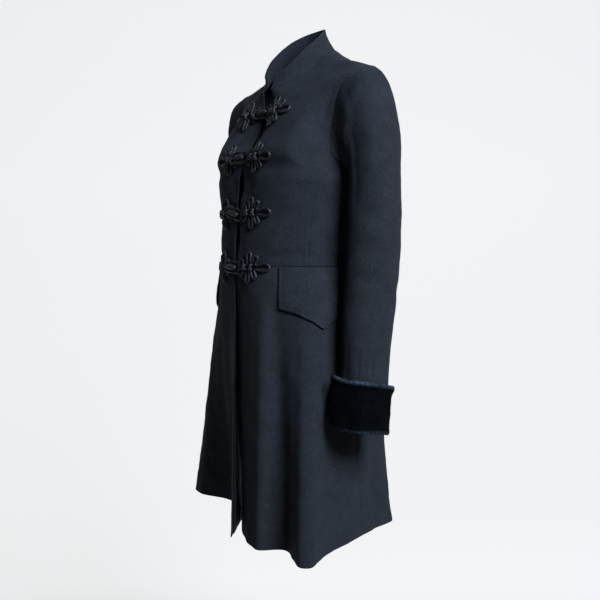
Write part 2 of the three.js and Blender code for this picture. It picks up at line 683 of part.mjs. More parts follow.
// The cuff is turned back over the sleeve's end and open along the front seam.
function cuff(side) {
  const sleeve = sleeveSurface(isRight(side));
  const lastRing = SLEEVE_RINGS.length;
  const height = CUFF_ROWS[CUFF_ROWS.length - 1].rise;
  const ringGap = toVector(SLEEVE_RINGS[lastRing - 1].at)
    .distanceTo(toVector(SLEEVE_RINGS[lastRing - 2].at));
  const surface = (around, up) => {
    const stand = through(CUFF_ROWS.map((row) => row.stand), up);
    const rise = through(CUFF_ROWS.map((row) => row.rise), up);
    const beside = around - FRONT_SEAM - CUFF_CORNER.place;
    const corner = bell(beside, CUFF_CORNER.width) * (rise / height) ** 3;
    const place = lastRing - rise / ringGap;
    const point = sleeve(around, place);
    const range = { u: [FRONT_SEAM, FRONT_SEAM + 1], v: [0, lastRing] };
    const normal = normalAt(sleeve, around, place, range, -1);
    point.addScaledVector(normal, stand + CUFF_CORNER.stand * corner);
    point.z += CUFF_CORNER.rise * corner;
    return point;
  };
  const columns = steps(FRONT_SEAM + CUFF_OPENING, FRONT_SEAM + 1 - CUFF_OPENING, 24);
  return wall(surface, { u: columns, v: steps(0, CUFF_ROWS.length - 1, 3), facing: 1,
    over: VELVET, under: 0, mirrored: isRight(side) });
}

// The flap lies on the skirt front and hangs from the waist seam. Its columns follow the
// skirt's own, so that it lies flat on them.
function pocketFlap(side) {
  const skirt = SKIRT_FRONT[side];
  const drop = WAIST_Z - LEFT_FRONT_LINES[LEFT_FRONT_LINES.length - 1].hem[2];
  const lengthAt = (line) => {
    const next = Math.max(1, FLAP_EDGE.findIndex((row) => row.line >= line));
    const [before, after] = [FLAP_EDGE[next - 1], FLAP_EDGE[next]];
    const t = (line - before.line) / (after.line - before.line);
    return THREE.MathUtils.lerp(before.length, after.length, t);
  };
  const surface = (line, down) => skirt(line, (down * lengthAt(line)) / drop);
  const first = FLAP_EDGE[0].line;
  const last = FLAP_EDGE[FLAP_EDGE.length - 1].line;
  return wall(surface, { u: steps(first, last, (last - first) * 2), v: steps(0, 1, 3),
    facing: -1, over: FACING_GAP + FLAP, under: FACING_GAP,
    trim: { u1: FLAP_REAR, v0: 1 }, mirrored: isRight(side) });
}

// The knot half: its spray and the barrel knot that crosses the centre front.
function knotHalf(frog) {
  const lift = KNOT_RADIUS + KNOT_GAP;
  const knotOut = -frog.knotX;
  const middle = onCoat('right', frog, knotOut, 0, lift).point;
  const rounding = 1.5;
  const profile = [new THREE.Vector2(0, -KNOT_LENGTH / 2)];
  for (const t of steps(0, 1, 5)) {
    const swell = THREE.MathUtils.lerp(KNOT_END, 1, Math.sin(Math.PI * t));
    profile.push(new THREE.Vector2(KNOT_RADIUS * swell,
      (t - 0.5) * (KNOT_LENGTH - 2 * rounding)));
  }
  profile.push(new THREE.Vector2(0, KNOT_LENGTH / 2));
  const barrel = new THREE.LatheGeometry(profile, 8);
  barrel.rotateZ(-Math.PI / 2);
  barrel.rotateY(-radians(frog.tilt));
  barrel.translate(middle.x, middle.y, middle.z);
  const reach = knotOut + KNOT_LENGTH / 4;
  return joined([spray('right', frog, [[reach, -1.2], [reach, 1.2]]), barrel]);
}

// The loop half: its spray, whose stem opens into a loop round the barrel knot and passes
// over the knot's own stem at the far end. The further the knot lies from the centre
// front, the more of the other half the loop passes over.
function loopHalf(frog) {
  const clear = KNOT_RADIUS + CORD + LOOP_PLAY;
  const near = frog.knotX + KNOT_LENGTH / 2;
  const far = frog.knotX - KNOT_LENGTH / 2 - CORD - 2 * LOOP_PLAY;
  const shoulder = far + 2.5 * CORD;
  const over = 2 * CORD + 2 * LOOP_PLAY;
  const beside = Math.max(LOOP_PLAY, over * Math.min(1, -frog.knotX / (5 * CORD)));
  const slope = Math.tan(radians(frog.tilt));
  const loop = [
    [near, -clear, 0], [frog.knotX, -clear, beside], [shoulder, -0.8 * clear, over],
    [far, 0, over],
    [shoulder, 0.8 * clear, over], [frog.knotX, clear, beside], [near, clear, 0],
  ];
  return spray('left', frog, loop.map(([out, up, lift]) =>
    [out, up + slope * (out - frog.knotX), lift]));
}

for (const side of SIDES) {
  add(`bodice_front_${side}`, bodiceFront(side), wool);
  add(`bodice_back_${side}`, bodiceBack(side), wool);
  add(`skirt_front_${side}`, skirtFront(side), wool);
  add(`skirt_back_${side}`, skirtBack(side), wool);
  add(`front_facing_${side}`, frontFacing(side), facingWool);
  add(`sleeve_upper_${side}`, sleevePiece(side, FRONT_SEAM, ELBOW_SEAM, 10), wool);
  add(`sleeve_under_${side}`, sleevePiece(side, ELBOW_SEAM, 1 + FRONT_SEAM, 6), wool);
  add(`cuff_${side}`, cuff(side), velvet);
  add(`pocket_flap_${side}`, pocketFlap(side), wool);
}
add('collar', collarBand(0, -COATING, 0, 4 * SEAM), wool);
add('collar_facing', collarBand(-(COATING + FACING_GAP),
  -(COATING + FACING_GAP + FACING), 0.03, 6 * SEAM), darkFacing);
for (const frog of FROGS) {
  add(`${frog.name}_knot_half`, knotHalf(frog), braidFinish);
  add(`${frog.name}_loop_half`, loopHalf(frog), braidFinish);
}

export default coat;
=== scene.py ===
"""A woman's fitted three-quarter coat with braided frogs, worn by nobody.

Lengths in the tables are millimetres in the coat's own frame: +Z up, the wearer faces
-Y, their left is +X, and the origin is on the body's axis at the height of the nape.
Meshes are made in metres. Every piece of cloth is a thin shell over a surface of two
parameters, and its creases move that surface in or out.
"""

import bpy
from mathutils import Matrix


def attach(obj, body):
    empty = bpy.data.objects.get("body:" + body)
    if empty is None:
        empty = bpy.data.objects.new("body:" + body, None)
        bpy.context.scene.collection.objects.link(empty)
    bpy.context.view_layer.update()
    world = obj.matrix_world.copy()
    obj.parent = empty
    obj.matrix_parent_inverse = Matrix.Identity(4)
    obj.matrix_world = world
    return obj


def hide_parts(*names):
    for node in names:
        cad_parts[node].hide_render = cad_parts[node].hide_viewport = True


bl_info = {
    "name": "Frog-fastening coat",
    "version": (1, 0, 0),
    "blender": (4, 5, 0),
    "location": "3D View > Sidebar > Coat",
    "description": "Sews a fitted wool coat with velvet cuffs and braided frogs",
    "category": "Mesh",
}

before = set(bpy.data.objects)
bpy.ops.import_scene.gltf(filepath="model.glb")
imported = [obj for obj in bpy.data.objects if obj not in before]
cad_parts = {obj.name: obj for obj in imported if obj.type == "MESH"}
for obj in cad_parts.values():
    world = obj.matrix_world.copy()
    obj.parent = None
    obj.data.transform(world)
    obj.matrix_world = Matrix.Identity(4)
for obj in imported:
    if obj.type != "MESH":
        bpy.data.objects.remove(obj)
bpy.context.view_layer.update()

import math

import bpy
import numpy as np
from bpy.props import FloatProperty, FloatVectorProperty, IntProperty, PointerProperty
from mathutils import Vector

MM = 0.001


def table(names, *rows):
    """The rows of a table, each with the named columns."""
    return [dict(zip(names.split(), row)) for row in rows]


# ------------------------------------------------------------------ sizes

COATING = 2.2           # thickness of the wool coating
FACING = 1.3            # thickness of a facing
FACING_GAP = 0.9        # how far a facing or a flap lies from its cloth
VELVET = 3.0            # thickness of the velvet cuffs, pile included
FLAP = 2.6              # thickness of a pocket flap, two layers pressed flat

WAIST_Z = -403          # height of the waist seam
EDGE_X = 2.5            # distance of each front edge from the centre front
BACK_X = 0.0            # the backs meet at the centre-back seam
HIP_EASE = 17           # how far the skirt swells over the hip

KNOT_RADIUS = 5.6       # radius of a frog's barrel knot
KNOT_LENGTH = 32        # length of a frog's barrel knot
KNOT_END = 0.62         # how thick the knot's ends are, as a share
KNOT_GAP = 1.8          # how far the knot lies over the cloth
LOOP_PLAY = 1           # play of the loop round the knot
CORD = 2.0              # radius that the braid was laid out with
CORD_GAP = 0.3          # how far the braid lies over the cloth

EDGE_SINK = 0.45        # how far a parted edge sinks, as a share of how far it parts
RIGHT_PARTS = 0.3       # how much of that the right front does
HEM_DEPTH = 42          # depth of the hem's turned-up edge
SEAM_REACH = 13         # how far from a seam creases and unevenness begin
LENS_SHIFT = -0.0917    # how far the view is shifted down, as a share of its width
GLOW_DEPTH = (-0.4, 1.2)  # metres behind the axis where the floor's glow starts and is full
GLOW_FRONT = 0.12       # share of the glow that the floor in front has
GLOW_ASIDE = (1.8, 3.6)  # metres aside where the glow starts to fade and has faded
GLOW_FAR = 0.25         # share of the glow that is left far aside
PATCHES = 38.0          # patches of lighter and darker cloth in a metre
RIM_HIGHLIGHT_SPAN = (0.001, 0.008)  # metres from a rim where the painted highlight is brightest, and where it has faded
CUFF_OPENING = 0.004    # half of the gap at the cuff's front seam, round the sleeve
FLAP_REAR = 0.28        # how far the flap ends before the side seam, in skirt lines

# Rings of the body from the waist to the underarm. Each is a rounded oval.
# half_width: centre to side; middle_y: where the side lies; front_y, back_y: centre front
# and centre back; square: 2 is an ellipse, and more is squarer at the front.
BODY_RINGS = table("z half_width middle_y front_y back_y square",
    (WAIST_Z, 147, -14, -139, 106, 2.05),
    (-368, 146, -14, -138, 103, 2.1),
    (-312, 150, -10, -133, 108, 2.25),
    (-272, 156, -4, -132, 115, 2.45),
    (-250, 160, 0, -130, 118, 2.65))

# Rows above the underarm. Each row runs from the front edge or the neckline (neck)
# over two points of the chest or back (inner, outer) to the armhole (arm).
FRONT_ROWS = table("neck inner outer arm",
    ([3, -117, -209], [53, -123, -211], [112, -111, -211], [151, -43, -208]),
    ([3, -87, -161], [53, -99, -163], [111, -91, -167], [149, -40, -170]),
    ([10, -72, -114], [54, -81, -125], [109, -69, -131], [152, -36, -136]),
    ([12, -73, -88], [58, -65, -99], [113, -50, -104], [158, -30, -104]),
    ([42, -51, -78], [77, -41, -78], [121, -32, -83], [167, -21, -84]),
    ([62, -24, -58], [91, -14, -56], [131, -8, -64], [178, -7, -71]))

SHOULDER_ROW = table("neck inner outer arm",
    ([67, 4, -28], [105, 18, -37], [147, 19, -49], [187, 14, -62]))[0]

BACK_ROWS = table("neck inner outer arm",
    ([58, 30, -12], [98, 45, -36], [141, 47, -55], [183, 33, -80]),
    ([34, 54, -4], [84, 68, -46], [131, 68, -76], [173, 45, -106]),
    ([BACK_X, 66, 0], [64, 82, -62], [121, 82, -103], [164, 51, -141]),
    ([BACK_X, 94, -70], [60, 102, -108], [118, 95, -143], [159, 49, -186]),
    ([BACK_X, 113, -155], [58, 115, -174], [116, 101, -194], [157, 32, -226]))

# Lines down the skirt, in order round one half. angle: where the line leaves the waist,
# in degrees from the centre front; hem: where it reaches the hem. A line that stands
# out from its neighbours is the crest of a fold.
LEFT_FRONT_LINES = table("name angle hem",
    ("edge", 0, [-18, -112, -857]),
    ("edge roll", 9, [24, -140, -866]),
    ("front", 19, [72, -160, -869]),
    ("front crest", 29, [108, -161, -869]),
    ("valley", 40, [141, -130, -868]),
    ("rise", 50, [181, -141, -869]),
    ("crest", 58, [213, -152, -870]),
    ("turn", 66, [229, -137, -869]),
    ("fall", 75, [206, -91, -864]),
    ("hip", 83, [198, -45, -858]),
    ("side", 90, [184, 0, -855]))

RIGHT_FRONT_LINES = table("name angle hem",
    ("edge", 0, [-29, -166, -869]),
    ("edge sweep", 9, [34, -108, -860]),
    ("valley", 19, [78, -82, -855]),
    ("inner rise", 29, [108, -79, -854]),
    ("rise", 40, [138, -86, -852]),
    ("front", 50, [166, -97, -852]),
    ("crest", 58, [195, -103, -852]),
    ("turn", 66, [224, -97, -852]),
    ("fall", 74, [230, -66, -853]),
    ("hip", 82, [212, -30, -854]),
    ("side", 90, [184, 0, -855]))

BACK_LINES = table("name angle hem",
    ("side", 90, [184, 0, -855]),
    ("hip", 101, [168, 44, -855]),
    ("crest", 114, [148, 96, -855]),
    ("valley", 127, [112, 103, -854]),
    ("back crest", 141, [88, 138, -855]),
    ("back valley", 155, [48, 138, -854]),
    ("centre crest", 168, [24, 166, -856]),
    ("centre", 180, [BACK_X, 170, -856]))

# The collar's free edge from the front to the nape, one point above each row of the
# neckline.
COLLAR_TOP = table("name top",
    ("front", [14, -68, -60]),
    ("throat", [32, -55, -48]),
    ("side front", [49, -31, -21]),
    ("side", [53, 0, 7]),
    ("side back", [43, 22, 24]),
    ("back", [24, 40, 34]),
    ("nape", [0, 50, 38]))

# Rings of the sleeve below the armhole, for the left arm. roll lifts the outer side and
# pitch the front, in degrees; swing is how much further back the right sleeve hangs.
SLEEVE_RINGS = table("at half_width half_depth roll pitch swing",
    ([187, 8, -161], 92, 50, 76, 0, 2),
    ([199, 9, -187], 77, 48, 66, 0, 6),
    ([207, 8, -220], 61, 46, 50, 0, 12),
    ([208, 7, -262], 49, 44, 28, 0, 17),
    ([207, 7, -318], 45, 45, 6, 0, 22),
    ([207, 2, -404], 44, 45, 0, 3, 29),
    ([213, -13, -500], 41, 43, 2, 8, 37),
    ([224, -28, -592], 37, 39, 2, 14, 42),
    ([230, -38, -664], 37, 40, 1, 18, 46))

# Long folds of the sleeve. around: place round the ring; width: half of its spread;
# depth: how far it sinks; top, bottom: where it starts and ends along the sleeve.
SLEEVE_FOLDS = table("around width depth top bottom",
    (0.288, 0.05, 1.8, 0.8, 5.2),
    (0.368, 0.05, -1.2, 0.8, 4.6),
    (0.736, 0.05, 3.5, 2, 5.5))

# The cuff along its height: rise from the lower edge and how far it stands off. Its
# free corner, beside the front seam, rises a little more.
CUFF_ROWS = table("rise stand",
    (0, 0.5), (17, 3.2), (46, 4.6), (76, 6.2))

CUFF_CORNER = dict(place=0.026, width=0.05, rise=4.5, stand=5.5)

# The sleeve's end opens and drops towards its front seam. start: ring where this
# begins; flare and drop: how far it goes out and down.
CUFF_BELL = dict(start=7.5, flare=11, flare_width=0.075, drop=12, drop_place=0.3,
                 drop_width=0.16)

# The pocket flap's length down from the waist seam. line: the skirt line it hangs by.
FLAP_EDGE = table("line length",
    (4, 69), (5.6, 77), (6.8, 88), (7.6, 101), (8.8, 84), (10, 71))

# The frogs, from the neck down. knot_x: how far the knot lies from the centre front;
# tilt: how much it turns, in degrees.
FROGS = table("name z knot_x tilt",
    ("frog_1", -131, -4, 8),
    ("frog_2", -213, -13, 4),
    ("frog_3", -310, -7, -14),
    ("frog_4", -405, -4, -4))

# The braid's route round the upper half of a spray, from the front edge out: a stem, a
# bud, a tall petal, a short petal and half of the outer petal. Each point is out from
# the centre front and up, and the lower half mirrors it.
SPRAY_ROUTE = [
    [14, 2.4], [18, 3.4], [18.4, 8], [20, 12.3], [23.6, 14.1], [27.2, 11.8], [27.6, 7.7],
    [29.5, 4.4], [33.5, 3.6], [36.6, 6.5], [36.6, 12.6], [36.4, 19.4], [37.8, 24.5],
    [41.2, 26.4], [44.8, 24.3], [45.2, 17.9], [44.8, 11.8], [46.2, 8.3], [49, 9.9],
    [51, 14.1], [53.4, 17.9], [57, 19.6], [60, 17.3], [58.8, 12.1], [56, 7.7], [56, 4.4],
    [60.4, 3.4], [66.5, 5.3], [74, 6.2], [80, 4.6], [82.2, 0],
]

# Short ends of braid that cross each spray at its two waists: (out, up, rise).
CROSS_CORDS = [
    [(26.8, 5.4, 0.9), (30.2, 0, 2.4), (33.6, -5.4, 0.9)],
    [(26.8, -5.4, 1.4), (30.2, 0, 4.4), (33.6, 5.4, 1.4)],
    [(44.4, 6.6, 0.9), (46.8, 0, 2.4), (49.2, -6.6, 0.9)],
    [(44.4, -6.6, 1.4), (46.8, 0, 4.4), (49.2, 6.6, 1.4)],
]

FRONT_SEAM = 0.16       # place of the sleeve's front seam, round from the underarm
ELBOW_SEAM = 0.80       # place of the seam that passes the elbow
FACING_LINES = 2        # the facing's width in lines of the skirt
FACING_SHARE = 0.25     # the facing's width as a share of the bodice front

# Between the frogs the left front stands a little apart from the right one.
# parted: how far its edge draws back; reach: how far up and down that lasts.
PARTED_EDGE = table("z parted reach",
    (-98, 3.5, 20), (-172, 6.5, 24), (-262, 7.5, 31), (-358, 5.0, 28))

# Creases, laid one by one. Each runs through places on its own surface, given as
# (across, along) in that surface's own steps; width and depth are millimetres, and a
# depth below 0 stands out as a ridge.
FRONT_CREASES = table("name path width depth",
    ("sunk edge", [(0.03, 4.1), (0.06, 3.3), (0.03, 2.4)], 13, 2.6),
    ("lower sunk edge", [(0.03, 1.3), (0.05, 0.9), (0.03, 0.45)], 11, 1.8),
    ("shoulder pull", [(0.62, 10.6), (0.48, 8.4), (0.28, 6.4)], 13, 1.4),
    ("over the bust", [(0.95, 7.2), (0.84, 5.6), (0.66, 4.9)], 11, 1.3),
    ("armhole hollow", [(0.93, 8.6), (0.9, 6.6), (0.95, 5.1)], 10, 2.0),
    ("first frog pull", [(0.02, 6.3), (0.2, 6.1), (0.38, 6.5)], 8, 0.8),
    ("second frog pull", [(0.02, 4.6), (0.22, 4.3), (0.46, 4.6)], 9, 0.9),
    ("third frog pull", [(0.03, 1.6), (0.24, 1.5), (0.5, 1.95)], 10, 0.9),
    ("waist break", [(0.3, 0.35), (0.6, 0.6), (0.98, 0.4)], 9, 1.1),
    ("side break", [(0.7, 1.6), (0.88, 1.25), (1.0, 1.35)], 7, 0.9))
BACK_CREASES = table("name path width depth",
    ("waist break", [(0.05, 20.5), (0.45, 20.3), (0.97, 20.6)], 10, 1.4),
    ("blade hollow", [(0.92, 13.2), (0.84, 15.0), (0.93, 16.4)], 11, 1.8),
    ("nape break", [(0.02, 14.6), (0.24, 14.4), (0.5, 14.0)], 12, 1.2),
    ("side pull", [(0.98, 18.6), (0.7, 18.9), (0.45, 18.4)], 9, 1.0),
    ("small of the back", [(0.1, 19.3), (0.35, 19.5), (0.7, 19.2)], 8, 0.8))
LEFT_SKIRT_CREASES = table("name path width depth",
    ("edge hollow", [(1.7, 0.07), (1.8, 0.5), (1.6, 1.0)], 21, 3.4),
    ("front roll", [(2.95, 0.05), (3.1, 0.5), (3.0, 1.0)], 15, -3.8),
    ("long valley", [(3.6, 0.07), (3.95, 0.48), (4.4, 1.0)], 18, 2.5),
    ("under the point", [(6.4, 0.28), (6.9, 0.5), (6.6, 0.8)], 22, 2.4),
    ("hip break", [(8.6, 0.1), (8.9, 0.3), (8.7, 0.6)], 16, 1.3),
    ("hem break", [(8.2, 0.62), (8.5, 0.85), (8.4, 1.0)], 15, 1.4))
RIGHT_SKIRT_CREASES = table("name path width depth",
    ("edge roll", [(0.9, 0.1), (1.3, 0.5), (1.2, 1.0)], 14, 1.6),
    ("long valley", [(2.6, 0.2), (3.2, 0.6), (3.5, 1.0)], 18, 2.0),
    ("soft ridge", [(5.2, 0.12), (5.7, 0.5), (5.5, 1.0)], 17, -1.6),
    ("hip break", [(8.3, 0.08), (8.8, 0.35), (8.7, 0.7)], 15, 1.3))
SKIRT_BACK_CREASES = table("name path width depth",
    ("side valley", [(0.9, 0.15), (1.1, 0.5), (1.0, 1.0)], 16, 1.5),
    ("hip break", [(2.4, 0.06), (2.8, 0.3), (3.0, 0.6)], 17, 1.1),
    ("long valley", [(4.7, 0.2), (4.9, 0.6), (5.1, 1.0)], 15, 1.6),
    ("centre break", [(6.2, 0.1), (6.4, 0.4), (6.1, 0.75)], 13, 1.0))
SLEEVE_CREASES = table("name path width depth",
    ("front dart of the head", [(0.33, 0.35), (0.31, 1.0), (0.3, 1.9)], 6, 0.8),
    ("front fold", [(0.262, 1.7), (0.258, 3.2), (0.262, 5.4)], 6, 1.5),
    ("gather one", [(0.245, 8.05), (0.25, 7.7), (0.262, 7.2)], 5, 1.0),
    ("gather two", [(0.335, 8.05), (0.345, 7.75), (0.34, 7.45)], 2.6, 1.2),
    ("gather three", [(0.45, 8.05), (0.44, 7.7), (0.46, 7.15)], 3.6, 1.7),
    ("gather four", [(0.6, 8.05), (0.62, 7.7), (0.6, 7.3)], 3.2, 1.4),
    ("elbow break", [(0.2, 6.5), (0.3, 6.2), (0.42, 6.25)], 9, 1.5),
    ("second elbow break", [(0.22, 5.9), (0.32, 5.75), (0.4, 5.4)], 8, 1.0),
    ("outer pull", [(0.55, 2.6), (0.6, 4.2), (0.58, 5.6)], 12, 1.0),
    ("behind the elbow", [(0.78, 5.9), (0.7, 6.3), (0.6, 6.4)], 9, 1.3),
    ("forearm pull", [(0.36, 6.6), (0.4, 7.0), (0.38, 7.5)], 7, 1.0))

CUFF_DENTS = table("name path width depth",
    ("front dent", [(0.27, 0.4), (0.3, 1.2), (0.28, 2.2)], 9, 1.2),
    ("outer dent", [(0.44, 0.3), (0.46, 1.6), (0.5, 2.6)], 12, 1.0),
    ("back dent", [(0.7, 0.5), (0.68, 1.5), (0.74, 2.4)], 10, 1.4))

# Darts of the bodice, pressed flat, as (across, up) from the point to the waist.
FRONT_DART = [(0.73, 4.05), (0.71, 3.0), (0.70, 2.0), (0.692, 1.0), (0.69, 0.0)]
BACK_DART = [(0.52, 17.2), (0.5, 18.6), (0.49, 20.0), (0.5, 21.0)]
# A dart sinks along its line and lifts beside it, and opens over a share of it.
DART = dict(depth=1.3, width=1.7, lip=0.4, lip_place=4.0, lip_width=2.5, opening=0.2)


# ------------------------------------------------------------------ settings

class CoatCloth(bpy.types.PropertyGroup):
    """The cloth's colours and how strongly it creases and rolls."""

    wool: FloatVectorProperty(
        name="Wool", description="Colour of the coating", subtype="COLOR", size=3,
        min=0, max=1, default=(0.0128, 0.0144, 0.0177))
    # Painted shade: the facing and the collar's lining are the coat's own wool, given this
    # darker, bluer colour to paint the shade inside the coat.
    facing: FloatVectorProperty(
        name="Facing", description="Colour of the inside of the fronts", subtype="COLOR",
        size=3, min=0, max=1, default=(0.0042, 0.0056, 0.0105))
    velvet: FloatVectorProperty(
        name="Velvet", description="Colour deep in the cuffs' pile", subtype="COLOR",
        size=3, min=0, max=1, default=(0.0008, 0.0011, 0.0016))
    braid: FloatVectorProperty(
        name="Braid", description="Colour of the frogs", subtype="COLOR", size=3,
        min=0, max=1, default=(0.0060, 0.0064, 0.0076))
    crease: FloatProperty(
        name="Creases", description="How deep the creases are, 1 as laid by hand",
        min=0, max=2, default=1.0)
    sway: FloatProperty(
        name="Unevenness", description="Depth of the cloth's soft unevenness",
        unit="LENGTH", min=0, max=0.003, default=0.0006)
    weave: FloatProperty(
        name="Weave", description="Width of one rib of the twill", unit="LENGTH",
        min=0.0003, max=0.003, default=0.0011)
    seam_roll: FloatProperty(
        name="Seam roll", description="How far the cloth rounds off beside a seam",
        unit="LENGTH", min=0.0005, max=0.004, default=0.0016)


class CoatFrogs(bpy.types.PropertyGroup):
    """The braid of the frogs."""

    radius: FloatProperty(
        name="Braid radius", description="Radius of the braided cord", unit="LENGTH",
        min=0.001, max=0.003, default=0.00205)
    plait: FloatProperty(
        name="Plait", description="Length of one stitch of the braid", unit="LENGTH",
        min=0.001, max=0.008, default=0.0034)
    relief: FloatProperty(
        name="Relief", description="Depth of the braid's strands", unit="LENGTH",
        min=0, max=0.0006, default=0.0005)
    sides: IntProperty(
        name="Sides", description="Faces round the cord", min=8, max=24, default=14)
    strands: IntProperty(
        name="Knot strands", description="Lengthwise strands of a knot", min=4, max=10,
        default=6)


class CoatStage(bpy.types.PropertyGroup):
    """The camera, the floor and the lights."""

    azimuth: FloatProperty(
        name="Azimuth", description="Where the camera stands, from the front",
        subtype="ANGLE", default=math.radians(55))
    distance: FloatProperty(
        name="Distance", description="From the coat's axis to the camera",
        unit="LENGTH", default=1.68)
    height: FloatProperty(
        name="Height", description="The camera's height from the nape", unit="LENGTH",
        default=-0.366)
    lens: FloatProperty(
        name="Lens", description="Focal length of the camera", unit="CAMERA",
        default=54.48)
    floor_drop: FloatProperty(
        name="Floor", description="The floor's height from the nape", unit="LENGTH",
        default=-1.42)
    floor: FloatVectorProperty(
        name="Floor colour", description="Colour of the floor and the backdrop",
        subtype="COLOR", size=3, min=0, max=1, default=(0.2, 0.2, 0.2))
    key: FloatProperty(
        name="Key light", description="Power of the light at the wearer's left",
        unit="POWER", default=200)
    fill: FloatProperty(
        name="Fill light", description="Power of the light near the camera",
        unit="POWER", default=2.0)
    surround: FloatProperty(
        name="Surround", description="Strength of the light from all round", min=0,
        default=0.02)
    glow: FloatProperty(
        name="Floor glow", description="How much the floor and backdrop shine themselves",
        min=0, default=0.75)


# ------------------------------------------------------------------ curves

def through(values, place):
    """Smooth values at places counted in steps of the list, with no overshoot.

    values has a row for each step and, for each of the places, a row of numbers.
    """
    values = np.asarray(values, float)
    place = np.asarray(place, float)
    if values.ndim == 1:
        return through(values[:, None], place)[:, 0]
    if values.ndim == 2:
        values = np.repeat(values[:, None, :], len(place), axis=1)
    step = np.diff(values, axis=0)
    slope = np.zeros_like(values)
    slope[0] = step[0]
    slope[-1] = step[-1]
    before, after = step[:-1], step[1:]
    product = before * after
    total = np.where(product > 0, before + after, 1.0)
    slope[1:-1] = np.where(product > 0, 2 * product / total, 0.0)
    i = np.clip(np.floor(place).astype(int), 0, len(values) - 2)
    n = np.arange(len(place))
    t = (place - i)[:, None]
    return (values[i, n] * (2 * t**3 - 3 * t**2 + 1)
            + slope[i, n] * (t**3 - 2 * t**2 + t)
            + values[i + 1, n] * (3 * t**2 - 2 * t**3)
            + slope[i + 1, n] * (t**3 - t**2))


def bell(distance, width):
    return np.exp(-(distance / width) ** 2)


def ease(t):
    """0 to 1 with level ends."""
    t = np.clip(t, 0, 1)
    return t * t * (3 - 2 * t)


def unit(v):
    return v / np.maximum(np.linalg.norm(v, axis=-1, keepdims=True), 1e-12)


def column(rows, key):
    return [row[key] for row in rows]


# ------------------------------------------------------------------ surfaces

RINGS = len(BODY_RINGS)
SHOULDER = RINGS + len(FRONT_ROWS)
BACK_ARM = SHOULDER + len(BACK_ROWS) + 1
TRUNK_TOP = BACK_ARM + RINGS - 1
NECK_PIT = RINGS + 3


def ring_points(ring, angle):
    """Points of a body ring: angle 0 is the centre front and 180 the centre back."""
    angle = np.asarray(angle, float)
    power = 2 / ring["square"]
    front = angle <= 90
    sine = np.abs(np.sin(np.radians(angle))) ** power
    cosine = np.abs(np.cos(np.radians(angle))) ** power
    inset = np.where(front, EDGE_X, BACK_X)
    depth = np.where(front, ring["front_y"] - ring["middle_y"],
                     ring["back_y"] - ring["middle_y"])
    x = inset + (ring["half_width"] - inset) * sine
    y = ring["middle_y"] + depth * cosine
    return np.stack([x, y, np.full_like(x, ring["z"])], axis=-1)


def row_points(row, across):
    points = [row[key] for key in ("neck", "inner", "outer", "arm")]
    return through(points, across * (len(points) - 1))


def trunk(across, up):
    """The half trunk: up the front, over the shoulder and down the back."""
    across = np.clip(across, 0, 1)
    rows = [ring_points(ring, across * 90) for ring in BODY_RINGS]
    rows += [row_points(row, across) for row in FRONT_ROWS + [SHOULDER_ROW] + BACK_ROWS]
    rows += [ring_points(ring, 180 - across * 90) for ring in reversed(BODY_RINGS)]
    return through(np.stack(rows), up)


def parted(points, share):
    """Draws a front edge back between the frogs; share is 1 at the edge and 0 inside."""
    moved = points.copy()
    for row in PARTED_EDGE:
        amount = row["parted"] * bell(points[:, 2] - row["z"], row["reach"]) * share
        moved[:, 0] += amount
        moved[:, 1] += EDGE_SINK * amount
    return moved


def bodice_front(parts):
    """The trunk, with its front edge parted by a share of what the table says."""
    def surface(across, up):
        share = parts * np.clip(1 - across / FACING_SHARE, 0, 1) ** 2
        return parted(trunk(across, up), share * (up < SHOULDER - 2))
    return surface


BODICE_FRONT = {"left": bodice_front(1), "right": bodice_front(RIGHT_PARTS)}


def skirt(lines):
    angles = column(lines, "angle")
    hems = column(lines, "hem")

    def surface(along, down):
        angle = through(angles, along)
        waist = ring_points(BODY_RINGS[0], angle)
        hem = through(hems, along)
        outward = waist - np.array([0, BODY_RINGS[0]["middle_y"], 0])
        outward[:, 2] = 0
        swell = HIP_EASE * np.sin(np.pi * down) * (1 - down)
        beside = np.minimum(1, angle / 20) * np.minimum(1, (180 - angle) / 20 + 0.3)
        down = down[:, None]
        return waist * (1 - down) + hem * down + unit(outward) * (swell * beside)[:, None]
    return surface


SKIRT_FRONT = {"left": skirt(LEFT_FRONT_LINES), "right": skirt(RIGHT_FRONT_LINES)}
SKIRT_BACK = skirt(BACK_LINES)


def collar(along, up):
    """From the right front edge round the nape to the left, along from -1 to 1."""
    last = len(COLLAR_TOP) - 1
    place = last * (1 - np.abs(along))
    foot = trunk(np.zeros_like(place), NECK_PIT + place)
    top = through(column(COLLAR_TOP, "top"), place)
    point = foot * (1 - up)[:, None] + top * up[:, None]
    inward = point * [-1, -1, 0]
    point += unit(inward) * (2.5 * np.sin(np.pi * up))[:, None]
    point[:, 0] *= np.sign(along + 1e-9)
    return point


def armhole_row(around):
    """The row of the trunk that each place round the armhole lies on."""
    return RINGS - 1 + (around - np.floor(around)) * (BACK_ARM - RINGS + 1)


def armhole(around):
    row = armhole_row(around)
    return trunk(np.ones_like(row), row)


